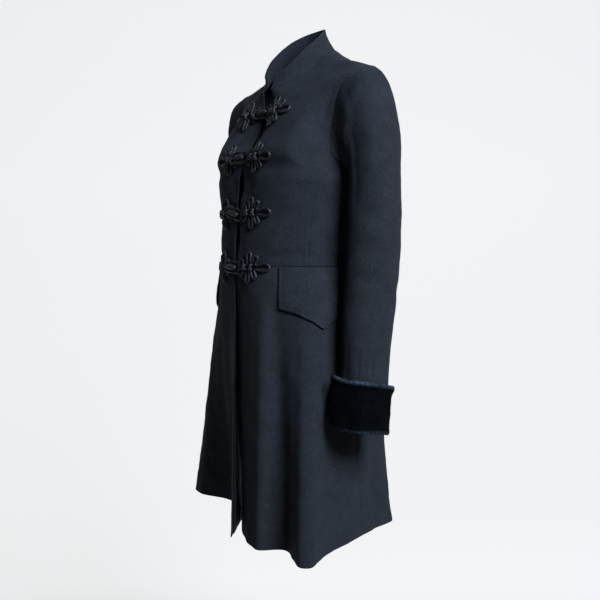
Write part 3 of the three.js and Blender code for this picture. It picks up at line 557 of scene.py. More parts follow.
def sleeve(swung):
    def surface(around, down):
        turn = around - np.floor(around)
        rows = [armhole(around)]
        for ring in SLEEVE_RINGS:
            roll, pitch = math.radians(ring["roll"]), math.radians(ring["pitch"])
            outer = np.array([math.cos(roll), 0, math.sin(roll)])
            front = np.array([0, -math.cos(pitch), math.sin(pitch)])
            centre = np.array(ring["at"], float) + [0, ring["swing"] if swung else 0, 0]
            angle = (2 * np.pi * around)[:, None]
            rows.append(centre - outer * ring["half_width"] * np.cos(angle)
                        + front * ring["half_depth"] * np.sin(angle))
        point = through(np.stack(rows), down)
        i = np.clip(np.round(down).astype(int) - 1, 0, len(SLEEVE_RINGS) - 1)
        axis = np.array(column(SLEEVE_RINGS, "at"), float)[i]
        inward = unit((axis - point) * [1, 1, 0])
        for fold in SLEEVE_FOLDS:
            middle = (fold["top"] + fold["bottom"]) / 2
            reach = (fold["bottom"] - fold["top"]) / 2
            fade = np.maximum(0, 1 - ((down - middle) / reach) ** 2)
            amount = fold["depth"] * fade * bell(turn - fold["around"], fold["width"])
            point += inward * amount[:, None]
        end = ease((down - CUFF_BELL["start"]) / (len(SLEEVE_RINGS) - CUFF_BELL["start"]))
        flare = CUFF_BELL["flare"] * bell(turn - FRONT_SEAM, CUFF_BELL["flare_width"])
        point -= inward * (end * flare)[:, None]
        point[:, 2] -= end * CUFF_BELL["drop"] * bell(turn - CUFF_BELL["drop_place"],
                                                      CUFF_BELL["drop_width"])
        return point
    return surface


# ------------------------------------------------------------------ cloth

EDGE_STEPS = (0, 0.12, 0.35, 0.7, 1.2, 2.0)     # from an edge to the lines beside it


def lines_between(start, end, count, length):
    """Grid lines from start to end, set closer beside both edges."""
    beside = np.array(EDGE_STEPS) / length
    inner = np.linspace(beside[-1], 1 - beside[-1], count + 1)
    share = np.concatenate([beside[:-1], inner, (1 - beside[:-1])[::-1]])
    return start + (end - start) * share


def normal_at(surface, u, v, facing, low, high):
    small = 1e-3
    across = (surface(np.minimum(u + small, high[0]), v)
              - surface(np.maximum(u - small, low[0]), v))
    along = (surface(u, np.minimum(v + small, high[1]))
             - surface(u, np.maximum(v - small, low[1])))
    return unit(np.cross(across, along)) * facing


def swayed(points, amount):
    """The soft unevenness of cloth: the same wherever two pieces share a place."""
    x, y, z = points.T
    return amount * (
        np.sin(0.071 * x + 0.043 * z + 1.3) * np.sin(0.052 * y - 0.031 * z + 0.4)
        + 0.6 * np.sin(0.113 * z + 0.087 * y + 2.1) * np.sin(0.094 * x - 0.061 * y)
        + 0.35 * np.sin(0.21 * z - 0.17 * x + 0.7) * np.sin(0.19 * y + 0.12 * z))


def crease_line(surface, path):
    place = np.linspace(0, len(path) - 1, 40)
    spots = through(np.array(path, float), place)
    return surface(spots[:, 0], spots[:, 1])


def beside_line(points, line):
    """Each point's distance from a line and where along it, 0 to 1, it lies."""
    start, run = line[:-1], np.diff(line, axis=0)
    length = np.maximum((run**2).sum(axis=1), 1e-9)
    gap = points[:, None, :] - start[None]
    share = np.clip((gap * run[None]).sum(axis=2) / length, 0, 1)
    distance = np.linalg.norm(gap - share[..., None] * run[None], axis=2)
    nearest = np.argmin(distance, axis=1)
    n = np.arange(len(points))
    return distance[n, nearest], (nearest + share[n, nearest]) / len(run)


def crease_depth(surface, creases, points, hem=None):
    """How far the listed creases sink each point. hem is the v that they run out at."""
    depth = np.zeros(len(points))
    for crease in creases:
        distance, share = beside_line(points, crease_line(surface, crease["path"]))
        taper = ease(share / 0.22)
        if hem is None or crease["path"][-1][1] < hem:
            taper = taper * ease((1 - share) / 0.3)
        depth += crease["depth"] * taper * bell(distance, crease["width"])
    return depth


def other_side(creases):
    """Creases like the given ones, but not their twins, for the other half."""
    changed = []
    for k, crease in enumerate(creases):
        slip = 0.025 * ((k * 3) % 4 - 1.5) * max(1, max(p[0] for p in crease["path"]))
        changed.append(dict(
            crease, path=[(max(u + slip, 0.01), v) for u, v in crease["path"]],
            width=crease["width"] * (0.85 + 0.09 * ((k * 5) % 4)),
            depth=crease["depth"] * (0.75 + 0.12 * ((k * 7) % 5))))
    return changed


def mesh_of(name, points, quads, uvs=None):
    """An object with smooth faces, from points in millimetres."""
    mesh = bpy.data.meshes.new(name)
    quads = np.asarray(quads, dtype=np.int32)
    corners = quads.shape[1]
    mesh.vertices.add(len(points))
    mesh.vertices.foreach_set("co", (np.asarray(points) * MM).astype(np.float32).ravel())
    mesh.loops.add(quads.size)
    mesh.loops.foreach_set("vertex_index", quads.ravel())
    mesh.polygons.add(len(quads))
    starts = np.arange(0, quads.size, corners, dtype=np.int32)
    mesh.polygons.foreach_set("loop_start", starts)
    mesh.polygons.foreach_set("use_smooth", np.ones(len(quads), dtype=bool))
    mesh.update(calc_edges=True)
    if uvs is not None:
        layer = mesh.uv_layers.new(name="Cut")
        layer.data.foreach_set("uv", np.asarray(uvs)[quads.ravel()].astype(
            np.float32).ravel())
    mesh.validate()
    obj = bpy.data.objects.new(name, mesh)
    bpy.context.scene.collection.objects.link(obj)
    return obj


def shell_faces(columns, rows, flip):
    """Quads of two grids of points, one over the other, and of their rim."""
    size = (columns + 1) * (rows + 1)
    at = np.arange(size).reshape(rows + 1, columns + 1)

    def strip(a, b, c, d):
        return np.stack([a.ravel(), b.ravel(), c.ravel(), d.ravel()], axis=1)
    outer = strip(at[:-1, :-1], at[:-1, 1:], at[1:, 1:], at[1:, :-1])
    inner = outer[:, ::-1] + size
    rim = [
        strip(at[0, :-1], at[0, :-1] + size, at[0, 1:] + size, at[0, 1:]),
        strip(at[-1, :-1], at[-1, 1:], at[-1, 1:] + size, at[-1, :-1] + size),
        strip(at[:-1, 0], at[1:, 0], at[1:, 0] + size, at[:-1, 0] + size),
        strip(at[:-1, -1], at[:-1, -1] + size, at[1:, -1] + size, at[1:, -1]),
    ]
    faces = np.concatenate([outer, inner, *rim])
    return faces[:, ::-1] if flip else faces


def panel(name, surface, u, v, facing, low, high, over=0.0, under=-COATING, relief=None,
          mirrored=False, roll=None, first_normal=None, pile=False):
    """A piece of cloth over a surface, its edges rolled off to half its thickness.

    relief(u, v, points, edges) gives how far the cloth stands off, in millimetres, from
    each point's place and its distances from the edges u0, u1, v0 and v1. A cloth with a
    pile keeps each point's distance from the nearest edge as its attribute rim, for a
    painted highlight along its rims.
    """
    cloth = bpy.context.scene.coat_cloth
    columns, rows = len(u) - 1, len(v) - 1
    across, along = [grid.ravel() for grid in np.meshgrid(u, v)]
    points = surface(across, along)
    normal = normal_at(surface, across, along, facing, low, high)
    grid = points.reshape(rows + 1, columns + 1, 3)
    if first_normal is not None:
        field = normal.reshape(rows + 1, columns + 1, 3)
        beside = first_normal(np.asarray(u))
        near = np.linalg.norm(grid - grid[:1], axis=2)
        share = np.clip((field * beside[None]).sum(axis=2) * 1.6, 0, 1) * bell(near, 5)
        normal = unit(field * (1 - share[..., None])
                      + beside[None] * share[..., None]).reshape(-1, 3)
    edges = dict(
        u0=np.linalg.norm(grid - grid[:, :1], axis=2).ravel(),
        u1=np.linalg.norm(grid - grid[:, -1:], axis=2).ravel(),
        v0=np.linalg.norm(grid - grid[:1], axis=2).ravel(),
        v1=np.linalg.norm(grid - grid[-1:], axis=2).ravel())
    width = roll or cloth.seam_roll / MM
    half = (over - under) / 2
    nearest = np.minimum.reduce(list(edges.values()))
    short = np.clip(1 - nearest / width, 0, 1)
    drop = 0.96 * half * (1 - np.sqrt(np.maximum(1 - short**2, 0)))
    stand = np.zeros(len(points)) if relief is None else relief(across, along, points,
                                                                 edges)
    outer = points + normal * (over - drop + stand)[:, None]
    inner = points + normal * (under + drop + stand)[:, None]
    steps_u = np.linalg.norm(np.diff(grid, axis=1), axis=2)
    steps_v = np.linalg.norm(np.diff(grid, axis=0), axis=2)
    run_u = np.pad(np.cumsum(steps_u, axis=1), ((0, 0), (1, 0))).ravel()
    run_v = np.pad(np.cumsum(steps_v, axis=0), ((1, 0), (0, 0))).ravel()
    uvs = np.stack([run_u, run_v], axis=1) * MM
    shell = np.concatenate([outer, inner])
    uvs = np.concatenate([uvs, uvs])
    du = surface(np.array([u[1]]), np.array([v[1]])) - points[:1]
    dv = surface(np.array([u[0]]), np.array([v[1]])) - points[:1]
    turned = float((np.cross(du, dv) * normal[:1]).sum()) < 0
    if mirrored:
        shell = shell * [-1, 1, 1]
    made = mesh_of(name, shell, shell_faces(columns, rows, turned != mirrored), uvs)
    # The distance to the nearest rim, kept for a painted highlight along the rims.
    if pile:
        rim = made.data.attributes.new("rim", "FLOAT", "POINT")
        rim.data.foreach_set("value", np.tile(nearest * MM, 2).astype(np.float32))
    return made


def seamed(edges, names, reach=SEAM_REACH):
    """0 at the named seams and 1 further than reach from them."""
    return ease(np.minimum.reduce([edges[name] for name in names]) / reach)


def off_waist(height):
    """0 at the waist seam and 1 further than SEAM_REACH from it."""
    return ease(np.abs(height - WAIST_Z) / SEAM_REACH)


def laid(surface, creases, points, hem=None):
    """How far cloth stands off: its soft unevenness less its listed creases."""
    cloth = bpy.context.scene.coat_cloth
    depth = cloth.crease * crease_depth(surface, creases, points, hem)
    return swayed(points, cloth.sway / MM) - depth


def trunk_relief(surface, creases, dart, names):
    """Creases, unevenness and the pressed dart of a bodice piece."""
    line = crease_line(surface, dart)

    def relief(across, along, points, edges):
        stand = laid(surface, creases, points) * seamed(edges, names)
        distance, share = beside_line(points, line)
        opened = ease(share / DART["opening"])
        stand -= DART["depth"] * opened * bell(distance, DART["width"])
        return stand + DART["lip"] * opened * bell(distance - DART["lip_place"],
                                                   DART["lip_width"])
    return relief


def skirt_relief(surface, creases, names):
    """Creases, unevenness and the hem's turned-up edge of a skirt piece."""
    def relief(across, along, points, edges):
        stand = laid(surface, creases, points, hem=1) * seamed(edges, names)
        turned_up = ease((HEM_DEPTH - edges["v1"]) / 3)
        return stand + 0.3 * turned_up - 0.25 * bell(edges["v1"] - HEM_DEPTH, 2.5)
    return relief


def creases_of(part, side):
    """The listed creases of one piece. The right one's are like the left one's, but
    for the skirt's fronts, which hang differently."""
    if part == "skirt_front":
        return LEFT_SKIRT_CREASES if side == "left" else RIGHT_SKIRT_CREASES
    rows = {"bodice_front": FRONT_CREASES, "bodice_back": BACK_CREASES,
            "skirt_back": SKIRT_BACK_CREASES, "sleeve": SLEEVE_CREASES,
            "cuff": CUFF_DENTS}[part]
    return rows if side == "left" else other_side(rows)


# ------------------------------------------------------------------ braid

def front_face(side, x, z):
    """The coat's outer face at x and z near the centre front, as laid: points, normals."""
    across = np.maximum(np.abs(x), EDGE_X + 0.3)
    point, normal = np.zeros((2, len(x), 3))
    chest = BODY_RINGS[-1]
    for on_bodice in (True, False):
        here = (z > WAIST_Z) == on_bodice
        if not here.any():
            continue
        a, height = across[here], z[here]
        u = a / chest["half_width"]
        if on_bodice:
            surface, part, facing, high = trunk, "bodice_front", 1, (1, SHOULDER)
            row_height = (WAIST_Z - chest["z"]) / (1 - RINGS)
            v = np.minimum(RINGS - 1 + (height - chest["z"]) / row_height, NECK_PIT)
        else:
            surface, part, facing = SKIRT_FRONT[side], "skirt_front", -1
            high = (len(LEFT_FRONT_LINES) - 1, 1)
            u = u * len(LEFT_FRONT_LINES)
            v = (WAIST_Z - height) / (WAIST_Z - LEFT_FRONT_LINES[0]["hem"][2])
        small = 1e-4
        for _ in range(14):
            u = np.clip(u, small, high[0] - small)
            v = np.clip(v, small, high[1] - small)
            p = surface(u, v)
            pu = (surface(u + small, v) - p) / small
            pv = (surface(u, v + small) - p) / small
            ex, ez = a - p[:, 0], height - p[:, 2]
            det = pu[:, 0] * pv[:, 2] - pv[:, 0] * pu[:, 2]
            u = u + np.clip((ex * pv[:, 2] - ez * pv[:, 0]) / det, -0.5, 0.5)
            v = v + np.clip((pu[:, 0] * ez - pu[:, 2] * ex) / det, -0.5, 0.5)
        u, v = np.clip(u, 0, high[0]), np.clip(v, 0, high[1])
        p = surface(u, v)
        n = normal_at(surface, u, v, facing, (0, 0), high)
        stand = laid(surface, creases_of(part, side), p) * off_waist(height)
        point[here] = p + n * stand[:, None]
        normal[here] = n
    return point, normal * [1 if side == "left" else -1, 1, 1]


def on_coat(half, frog, out, up, lift):
    """A frog's flat pattern laid on the coat, and the normals there."""
    x = out if half == "left" else -out
    point = np.zeros((len(x), 3))
    normal = np.zeros((len(x), 3))
    for side, here in (("left", x >= 0), ("right", x < 0)):
        if here.any():
            p, n = front_face(side, x[here], frog["z"] + up[here])
            point[here], normal[here] = p, n
    point[:, 0] = x
    return point + normal * np.asarray(lift)[..., None], normal


def even_curve(route, spacing, closed):
    """Evenly spaced points along a smooth curve through a route."""
    route = np.asarray(route, float)
    if closed:
        before, after = np.roll(route, 1, axis=0), np.roll(route, -1, axis=0)
        beyond = np.roll(route, -2, axis=0)
    else:
        long = np.concatenate([[2 * route[0] - route[1]], route,
                               [2 * route[-1] - route[-2]]])
        before, after, beyond = long[:-3], long[2:-1], long[3:]
        route = route[:-1]
    t = np.linspace(0, 1, 24, endpoint=False)[None, :, None]
    span = [np.sqrt(np.maximum(np.linalg.norm(b - a, axis=1), 1e-6))[:, None, None]
            for a, b in ((before, route), (route, after), (after, beyond))]
    p0, p1, p2, p3 = [p[:, None, :] for p in (before, route, after, beyond)]
    out_slope = ((p1 - p0) / span[0] - (p2 - p0) / (span[0] + span[1])
                 + (p2 - p1) / span[1]) * span[1]
    in_slope = ((p2 - p1) / span[1] - (p3 - p1) / (span[1] + span[2])
                + (p3 - p2) / span[2]) * span[1]
    dense = (p1 * (2 * t**3 - 3 * t**2 + 1) + out_slope * (t**3 - 2 * t**2 + t)
             + p2 * (3 * t**2 - 2 * t**3) + in_slope * (t**3 - t**2))
    dense = dense.reshape(-1, route.shape[1])
    last = dense[:1] if closed else after[-1:]
    dense = np.concatenate([dense, last])
    run = np.concatenate([[0], np.cumsum(np.linalg.norm(np.diff(dense, axis=0), axis=1))])
    count = int(run[-1] / spacing)
    places = np.linspace(0, run[-1], count + 1)
    even = np.stack([np.interp(places, run, dense[:, k]) for k in range(dense.shape[1])],
                    axis=1)
    return even[:-1] if closed else even


def cap(first, sides):
    """Quads over the end of a tube whose last ring starts at first."""
    k = np.arange(sides // 2 - 1)
    return first + np.stack([k, k + 1, sides - 2 - k, sides - 1 - k], axis=1)


def tube_faces(rings, sides, closed):
    """Quads round a tube of rings, and over its ends if it has any."""
    ring, side = [g.ravel() for g in np.meshgrid(
        np.arange(rings if closed else rings - 1), np.arange(sides), indexing="ij")]
    after, beyond = (ring + 1) % rings, (side + 1) % sides
    quads = np.stack([ring * sides + side, after * sides + side, after * sides + beyond,
                      ring * sides + beyond], axis=1)
    if closed:
        return quads
    return np.concatenate([quads, cap(0, sides), cap((rings - 1) * sides, sides)[:, ::-1]])


def braid_tube(path, normal, closed):
    """Points, quads and uvs of a braided cord along a path."""
    frogs = bpy.context.scene.coat_frogs
    radius, sides = frogs.radius / MM, frogs.sides
    if closed:
        along = unit(np.roll(path, -1, axis=0) - np.roll(path, 1, axis=0))
        gaps = np.linalg.norm(np.roll(path, -1, axis=0) - path, axis=1)
    else:
        along = unit(np.gradient(path, axis=0))
        gaps = np.append(np.linalg.norm(np.diff(path, axis=0), axis=1), 0)
    beside = unit(np.cross(along, normal))
    above = unit(np.cross(beside, along))
    run = np.concatenate([[0], np.cumsum(gaps)[:-1]])
    turns = max(1, round(run[-1] / (frogs.plait / MM)))
    phase = 2 * np.pi * turns * (run / (run[-1] + gaps[-1] + 1e-9))
    angle = 2 * np.pi * np.arange(sides) / sides
    twist = np.maximum(np.sin(2 * angle[None] + phase[:, None]),
                       np.sin(2 * angle[None] - phase[:, None]))
    reach = radius + frogs.relief / MM * twist
    if not closed:
        ends = np.minimum(run, run[-1] - run) / radius
        reach = reach * np.sqrt(np.clip(1 - np.clip(1 - ends, 0, 1) ** 2, 0.01, 1))[:, None]
    points = (path[:, None] + reach[..., None] * (
        np.cos(angle)[None, :, None] * beside[:, None]
        + np.sin(angle)[None, :, None] * above[:, None]))
    uv = np.stack([np.repeat(run, sides), np.tile(angle * radius, len(path))], axis=1) * MM
    return points.reshape(-1, 3), tube_faces(len(path), sides, closed), uv


def joined(parts):
    """Several meshes, given as points, quads and uvs, as one."""
    points, quads, uvs = zip(*parts)
    first = np.cumsum([0] + [len(p) for p in points[:-1]])
    quads = [q + f for q, f in zip(quads, first)]
    return np.concatenate(points), np.concatenate(quads), np.concatenate(uvs)


def spray(half, frog, closing):
    """The braid of one half of a frog, closed by points near the edge."""
    back = [(out, -up) for out, up in SPRAY_ROUTE[:-1][::-1]]
    route = [(out, up, 0) for out, up in list(map(tuple, SPRAY_ROUTE)) + back]
    flat = even_curve(route + closing, 1.1, closed=True)
    lift = CORD + CORD_GAP + np.maximum(flat[:, 2], 0)
    path, normal = on_coat(half, frog, flat[:, 0], flat[:, 1], lift)
    return braid_tube(path, normal, closed=True)


def short_cord(half, frog, route):
    """A short end of braid that crosses the spray, over what it crosses."""
    flat = even_curve([(out, up, rise) for out, up, rise in route], 0.8, closed=False)
    lift = CORD + CORD_GAP + flat[:, 2]
    path, normal = on_coat(half, frog, flat[:, 0], flat[:, 1], lift)
    return braid_tube(path, normal, closed=False)


def knot(frog):
    """The barrel knot: a bundle of strands laid lengthwise, bound at both ends."""
    frogs = bpy.context.scene.coat_frogs
    out = -frog["knot_x"]
    middle = on_coat("right", frog, np.array([float(out)]), np.array([0.0]),
                     np.array([KNOT_RADIUS + KNOT_GAP]))[0][0]
    steps, sides = 56, 60
    share = np.linspace(0, 1, steps + 1)
    swell = KNOT_END + (1 - KNOT_END) * np.sin(np.pi * share)
    tip = np.sqrt(np.clip(1 - np.clip(1 - np.minimum(share, 1 - share) / 0.08, 0, 1) ** 2,
                          0.0004, 1))
    bound = bell(np.minimum(share, 1 - share) - 0.15, 0.035)
    angle = 2 * np.pi * np.arange(sides) / sides
    lay = frogs.strands * (angle[None] + 0.9 * (share[:, None] - 0.5))
    ribs = np.abs(np.cos(lay / 2)) ** 0.7
    radius = KNOT_RADIUS * swell[:, None] * (0.76 + 0.24 * ribs)
    wrap = 0.8 + 0.35 * np.abs(np.sin(3 * np.pi * (share - 0.02) / 0.085))
    radius = (radius * (1 - 0.85 * bound[:, None])
              + (KNOT_RADIUS * swell * 0.97 + 0.25 * wrap)[:, None]
              * 0.85 * bound[:, None])
    radius *= tip[:, None]
    slope = math.radians(frog["tilt"])
    axis = np.array([math.cos(slope), 0, math.sin(slope)])
    up = np.array([-math.sin(slope), 0, math.cos(slope)])
    depth = np.array([0, 1.0, 0])
    points = (middle + ((share - 0.5) * KNOT_LENGTH)[:, None, None] * axis
              + radius[..., None] * (np.cos(angle)[None, :, None] * up
                                     + np.sin(angle)[None, :, None] * depth))
    run = np.repeat(share * KNOT_LENGTH, sides)
    uv = np.stack([run, np.tile(angle * KNOT_RADIUS, steps + 1)], axis=1) * MM
    return points.reshape(-1, 3), tube_faces(steps + 1, sides, False), uv


def knot_half(frog):
    reach = -frog["knot_x"] + KNOT_LENGTH / 4
    return joined([spray("right", frog, [(reach, -1.2, 0), (reach, 1.2, 0)]), knot(frog)]
                  + [short_cord("right", frog, route) for route in CROSS_CORDS])


def loop_half(frog):
    clear = KNOT_RADIUS + CORD + LOOP_PLAY
    near = frog["knot_x"] + KNOT_LENGTH / 2
    far = frog["knot_x"] - KNOT_LENGTH / 2 - CORD - 2 * LOOP_PLAY
    shoulder = far + 2.5 * CORD
    over = 2 * CORD + 2 * LOOP_PLAY
    beside = max(LOOP_PLAY, over * min(1, -frog["knot_x"] / (5 * CORD)))
    slope = math.tan(math.radians(frog["tilt"]))
    loop = [(near, -clear, 0), (frog["knot_x"], -clear, beside),
            (shoulder, -0.8 * clear, over), (far, 0, over), (shoulder, 0.8 * clear, over),
            (frog["knot_x"], clear, beside), (near, clear, 0)]
    closing = [(out, up + slope * (out - frog["knot_x"]), lift) for out, up, lift in loop]
    return joined([spray("left", frog, closing)]
                  + [short_cord("left", frog, route) for route in CROSS_CORDS])


# ------------------------------------------------------------------ materials

def node_of(tree, kind, feeds=None, **inputs):
    """A node with its numbers set, and its sockets fed from others' outputs."""
    node = tree.nodes.new(kind)
    for name, value in inputs.items():
        node.inputs[name.replace("_", " ")].default_value = value
    for name, output in (feeds or {}).items():
        tree.links.new(output, node.inputs[name])
    return node


def mapped(tree, value, low, high, least, most, smooth=False):
    """The value carried over from one range to another."""
    ramp = node_of(tree, "ShaderNodeMapRange", {"Value": value}, From_Min=low,
                   From_Max=high, To_Min=least, To_Max=most)
    if smooth:
        ramp.interpolation_type = "SMOOTHSTEP"
    return ramp.outputs["Result"]


def product(tree, first, second):
    both = node_of(tree, "ShaderNodeMath", {0: first, 1: second})
    both.operation = "MULTIPLY"
    return both.outputs["Value"]


def fabric(name, colour, nap, nap_depth, patch, grain=0, rim_highlight=0, rib=0, rib_depth=0,
           **finish):
    """A cloth with a nap, and a weave if it has ribs. nap is the size of its fibres' clumps
    and rib the width of one rib; the depths are how far they stand out, all in metres.
    patch and grain are how much its shade varies from place to place and from fibre to
    fibre; the next argument is how much lighter the colour is painted beside a rim, a
    painted highlight along a pile's edges. finish names the shader's own sockets."""
    made = bpy.data.materials.get(name)
    if made:
        return made
    made = bpy.data.materials.new(name)
    made.use_nodes = True
    tree = made.node_tree
    tree.nodes.clear()
    shader = node_of(tree, "ShaderNodeBsdfPrincipled", **finish)
    node_of(tree, "ShaderNodeOutputMaterial", {"Surface": shader.outputs["BSDF"]})
    place = tree.nodes.new("ShaderNodeTexCoord").outputs
    patches, fibres = [
        node_of(tree, "ShaderNodeTexNoise", {"Vector": place["Object"]}, Scale=scale,
                Detail=detail).outputs["Fac"]
        for scale, detail in ((PATCHES, 3.0), (1 / nap, 2.0))]
    shade = product(tree, mapped(tree, patches, 0.3, 0.7, 1 - patch, 1 + patch),
                    mapped(tree, fibres, 0.35, 0.65, 1 - grain, 1 + grain))
    # Painted highlight: the colour is made lighter near the rims, read from the attribute
    # rim.
    if rim_highlight:
        rim = tree.nodes.new("ShaderNodeAttribute")
        rim.attribute_name = "rim"
        rim_lightening = mapped(tree, rim.outputs["Fac"], *RIM_HIGHLIGHT_SPAN, 1 + rim_highlight, 1, smooth=True)
        shade = product(tree, shade, rim_lightening)
    tone = tree.nodes.new("ShaderNodeVectorMath")
    tone.operation = "SCALE"
    tone.inputs[0].default_value = colour
    tree.links.new(shade, tone.inputs["Scale"])
    tree.links.new(tone.outputs["Vector"], shader.inputs["Base Color"])
    bump = node_of(tree, "ShaderNodeBump", {"Height": fibres}, Distance=nap_depth,
                   Strength=0.6)
    if rib:
        weave = node_of(tree, "ShaderNodeTexWave", {"Vector": place["UV"]},
                        Scale=2 * math.pi / (10 * rib), Distortion=0.6, Detail=1.0)
        weave.bands_direction = "DIAGONAL"
        under = node_of(tree, "ShaderNodeBump", {"Height": weave.outputs["Fac"]},
                        Distance=rib_depth, Strength=0.5)
        tree.links.new(under.outputs["Normal"], bump.inputs["Normal"])
    tree.links.new(bump.outputs["Normal"], shader.inputs["Normal"])
    return made


def wool():
    cloth = bpy.context.scene.coat_cloth
    return fabric("coat_wool", cloth.wool, 0.0022, 0.0004, 0.14, grain=0.28,
                  rib=cloth.weave, rib_depth=0.0002, Roughness=0.95, Sheen_Weight=0.02,
                  Sheen_Roughness=0.5, Sheen_Tint=(0.7, 0.78, 1.0, 1),
                  Specular_IOR_Level=0.12)


# The coat's own wool in the darker facing colour: painted shade for the inside of the
# fronts and of the collar.
def shaded_facing_wool():
    cloth = bpy.context.scene.coat_cloth
    return fabric("coat_facing_painted_shade", cloth.facing, 0.002, 0.0002, 0.08, rib=cloth.weave,
                  rib_depth=0.0002, Roughness=0.9, Sheen_Weight=0.02, Sheen_Roughness=0.5,
                  Sheen_Tint=(0.6, 0.65, 0.8, 1), Specular_IOR_Level=0.3)


def velvet():
    cloth = bpy.context.scene.coat_cloth
    # The cuffs' rims get a painted highlight: within 8 mm of a rim the colour is lightened,
    # up to 23 times at 1 mm.
    return fabric("coat_velvet", cloth.velvet, 0.0028, 0.0008, 0.45, grain=0.6, rim_highlight=22,
                  Roughness=0.9, Sheen_Weight=0.08, Sheen_Roughness=0.08,
                  Sheen_Tint=(0.66, 0.8, 1.0, 1), Specular_IOR_Level=0.03)


def braid():
    cloth = bpy.context.scene.coat_cloth
    return fabric("coat_braid", cloth.braid, 0.0011, 0.00012, 0.1, rib=0.0009,
                  rib_depth=0.0001, Roughness=0.5, Sheen_Weight=0.02, Sheen_Roughness=0.4,
                  Sheen_Tint=(0.8, 0.8, 0.85, 1), Specular_IOR_Level=0.35)


# ------------------------------------------------------------------ pieces

def settle(obj, nodes, material):
    """Gives a piece its material, hides the model's parts that it takes the place of, and
    hangs it on the body root.
    """
    obj.data.materials.append(material)
    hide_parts(*nodes)
    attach(obj, "root")
    return obj


def bodice_piece(side, part):
    surface, names, dart, v = {
        "front": (BODICE_FRONT[side], ("u1", "v0", "v1"), FRONT_DART,
                  lines_between(0, SHOULDER, 150, 470)),
        "back": (trunk, ("u0", "u1", "v0", "v1"), BACK_DART,
                 lines_between(SHOULDER, TRUNK_TOP, 140, 450))}[part]
    relief = trunk_relief(surface, creases_of(f"bodice_{part}", side), dart, names)
    return panel(f"bodice_{part}_{side}_cloth", surface,
                 lines_between(0, 1, 84, 170), v, 1, (0, 0), (1, TRUNK_TOP),
                 relief=relief, mirrored=side == "right")


def skirt_piece(side, part):
    surface, lines, columns, names = {
        "front": (SKIRT_FRONT[side], LEFT_FRONT_LINES, 120, ("u1", "v0")),
        "back": (SKIRT_BACK, BACK_LINES, 100, ("u0", "u1", "v0"))}[part]
    last = len(lines) - 1
    relief = skirt_relief(surface, creases_of(f"skirt_{part}", side), names)
    return panel(f"skirt_{part}_{side}_cloth", surface,
                 lines_between(0, last, columns, 340), lines_between(0, 1, 100, 470), -1,
                 (0, 0), (last, 1), relief=relief, mirrored=side == "right")


def facing_piece(side):
    """The strip inside a front: across it, and down from the neck through the waist."""
    front, below = BODICE_FRONT[side], SKIRT_FRONT[side]
    v = np.concatenate([np.linspace(0.1 - NECK_PIT, 0, 90), np.linspace(0, 0.995, 90)[1:]])
    edge, over = 0.04, -(COATING + FACING_GAP)

    def surface(across, down):
        upper = front(across * FACING_SHARE, np.clip(-down, 0, TRUNK_TOP))
        lower = below(across * FACING_LINES, np.clip(down, 0, 1))
        return np.where((down <= 0)[:, None], upper, lower)

    def relief(across, along, points, edges):
        bodice = laid(front, creases_of("bodice_front", side), points)
        skirt_part = laid(below, creases_of("skirt_front", side), points, hem=1)
        return np.where(along <= 0, bodice, skirt_part) * off_waist(points[:, 2])
    return panel(f"front_facing_{side}_cloth", surface, lines_between(edge, 1, 24, 45), v,
                 -1, (edge, v[0]), (1, v[-1]), over=over, under=over - FACING,
                 relief=relief, mirrored=side == "right", roll=0.9)


def armhole_normal(around):
    row = armhole_row(around)
    return normal_at(trunk, np.ones_like(row), row, 1, (0, 0), (1, TRUNK_TOP))


def sleeve_piece(side, part):
    surface, last = sleeve(side == "right"), len(SLEEVE_RINGS)
    start, end, columns, length = {
        "upper": (FRONT_SEAM, ELBOW_SEAM, 84, 190),
        "under": (ELBOW_SEAM, 1 + FRONT_SEAM, 44, 100)}[part]

    def relief(across, along, points, edges):
        stand = laid(surface, creases_of("sleeve", side), points)
        stand *= seamed(edges, ("u0", "u1", "v0"), 9)
        turn = across - np.floor(across)
        head = np.clip(1 - np.abs(turn - 0.5) / 0.32, 0, 1)
        return stand + 1.8 * ease(head) * bell(edges["v0"] - 8, 6)
    return panel(f"sleeve_{part}_{side}_cloth", surface,
                 lines_between(start, end, columns, length),
                 lines_between(0, last, 150, 620), -1, (start - 1, 0), (end + 1, last),
                 relief=relief, mirrored=side == "right", first_normal=armhole_normal)


def cuff_surface(swung):
    body = sleeve(swung)
    last = len(SLEEVE_RINGS)
    height = CUFF_ROWS[-1]["rise"]
    gap = np.linalg.norm(np.subtract(SLEEVE_RINGS[-1]["at"], SLEEVE_RINGS[-2]["at"]))

    def surface(around, up):
        stand = through(column(CUFF_ROWS, "stand"), up)
        rise = through(column(CUFF_ROWS, "rise"), up)
        corner = (bell(around - FRONT_SEAM - CUFF_CORNER["place"], CUFF_CORNER["width"])
                  * (rise / height) ** 3)
        place = last - rise / gap
        point = body(around, place)
        normal = normal_at(body, around, place, -1, (FRONT_SEAM - 1, 0),
                           (FRONT_SEAM + 2, last))
        point = point + normal * (stand + CUFF_CORNER["stand"] * corner)[:, None]
        point[:, 2] += CUFF_CORNER["rise"] * corner
        return point
    return surface


def cuff_piece(side):
    surface = cuff_surface(side == "right")
    start, end = FRONT_SEAM + CUFF_OPENING, FRONT_SEAM + 1 - CUFF_OPENING
    top = len(CUFF_ROWS) - 1
    dents = creases_of("cuff", side)
    cloth = bpy.context.scene.coat_cloth

    def relief(across, along, points, edges):
        rim = np.minimum.reduce(list(edges.values()))
        stand = 2.4 * bell(rim - 5.5, 6) + swayed(points, 1.8 * cloth.sway / MM)
        return stand - cloth.crease * crease_depth(surface, dents, points)
    return panel(f"cuff_{side}_velvet", surface, lines_between(start, end, 120, 290),
                 lines_between(0, top, 44, 78), 1, (start, 0), (end, top), over=VELVET,
                 under=0.0, relief=relief, mirrored=side == "right", roll=4.5,
                 pile=True)


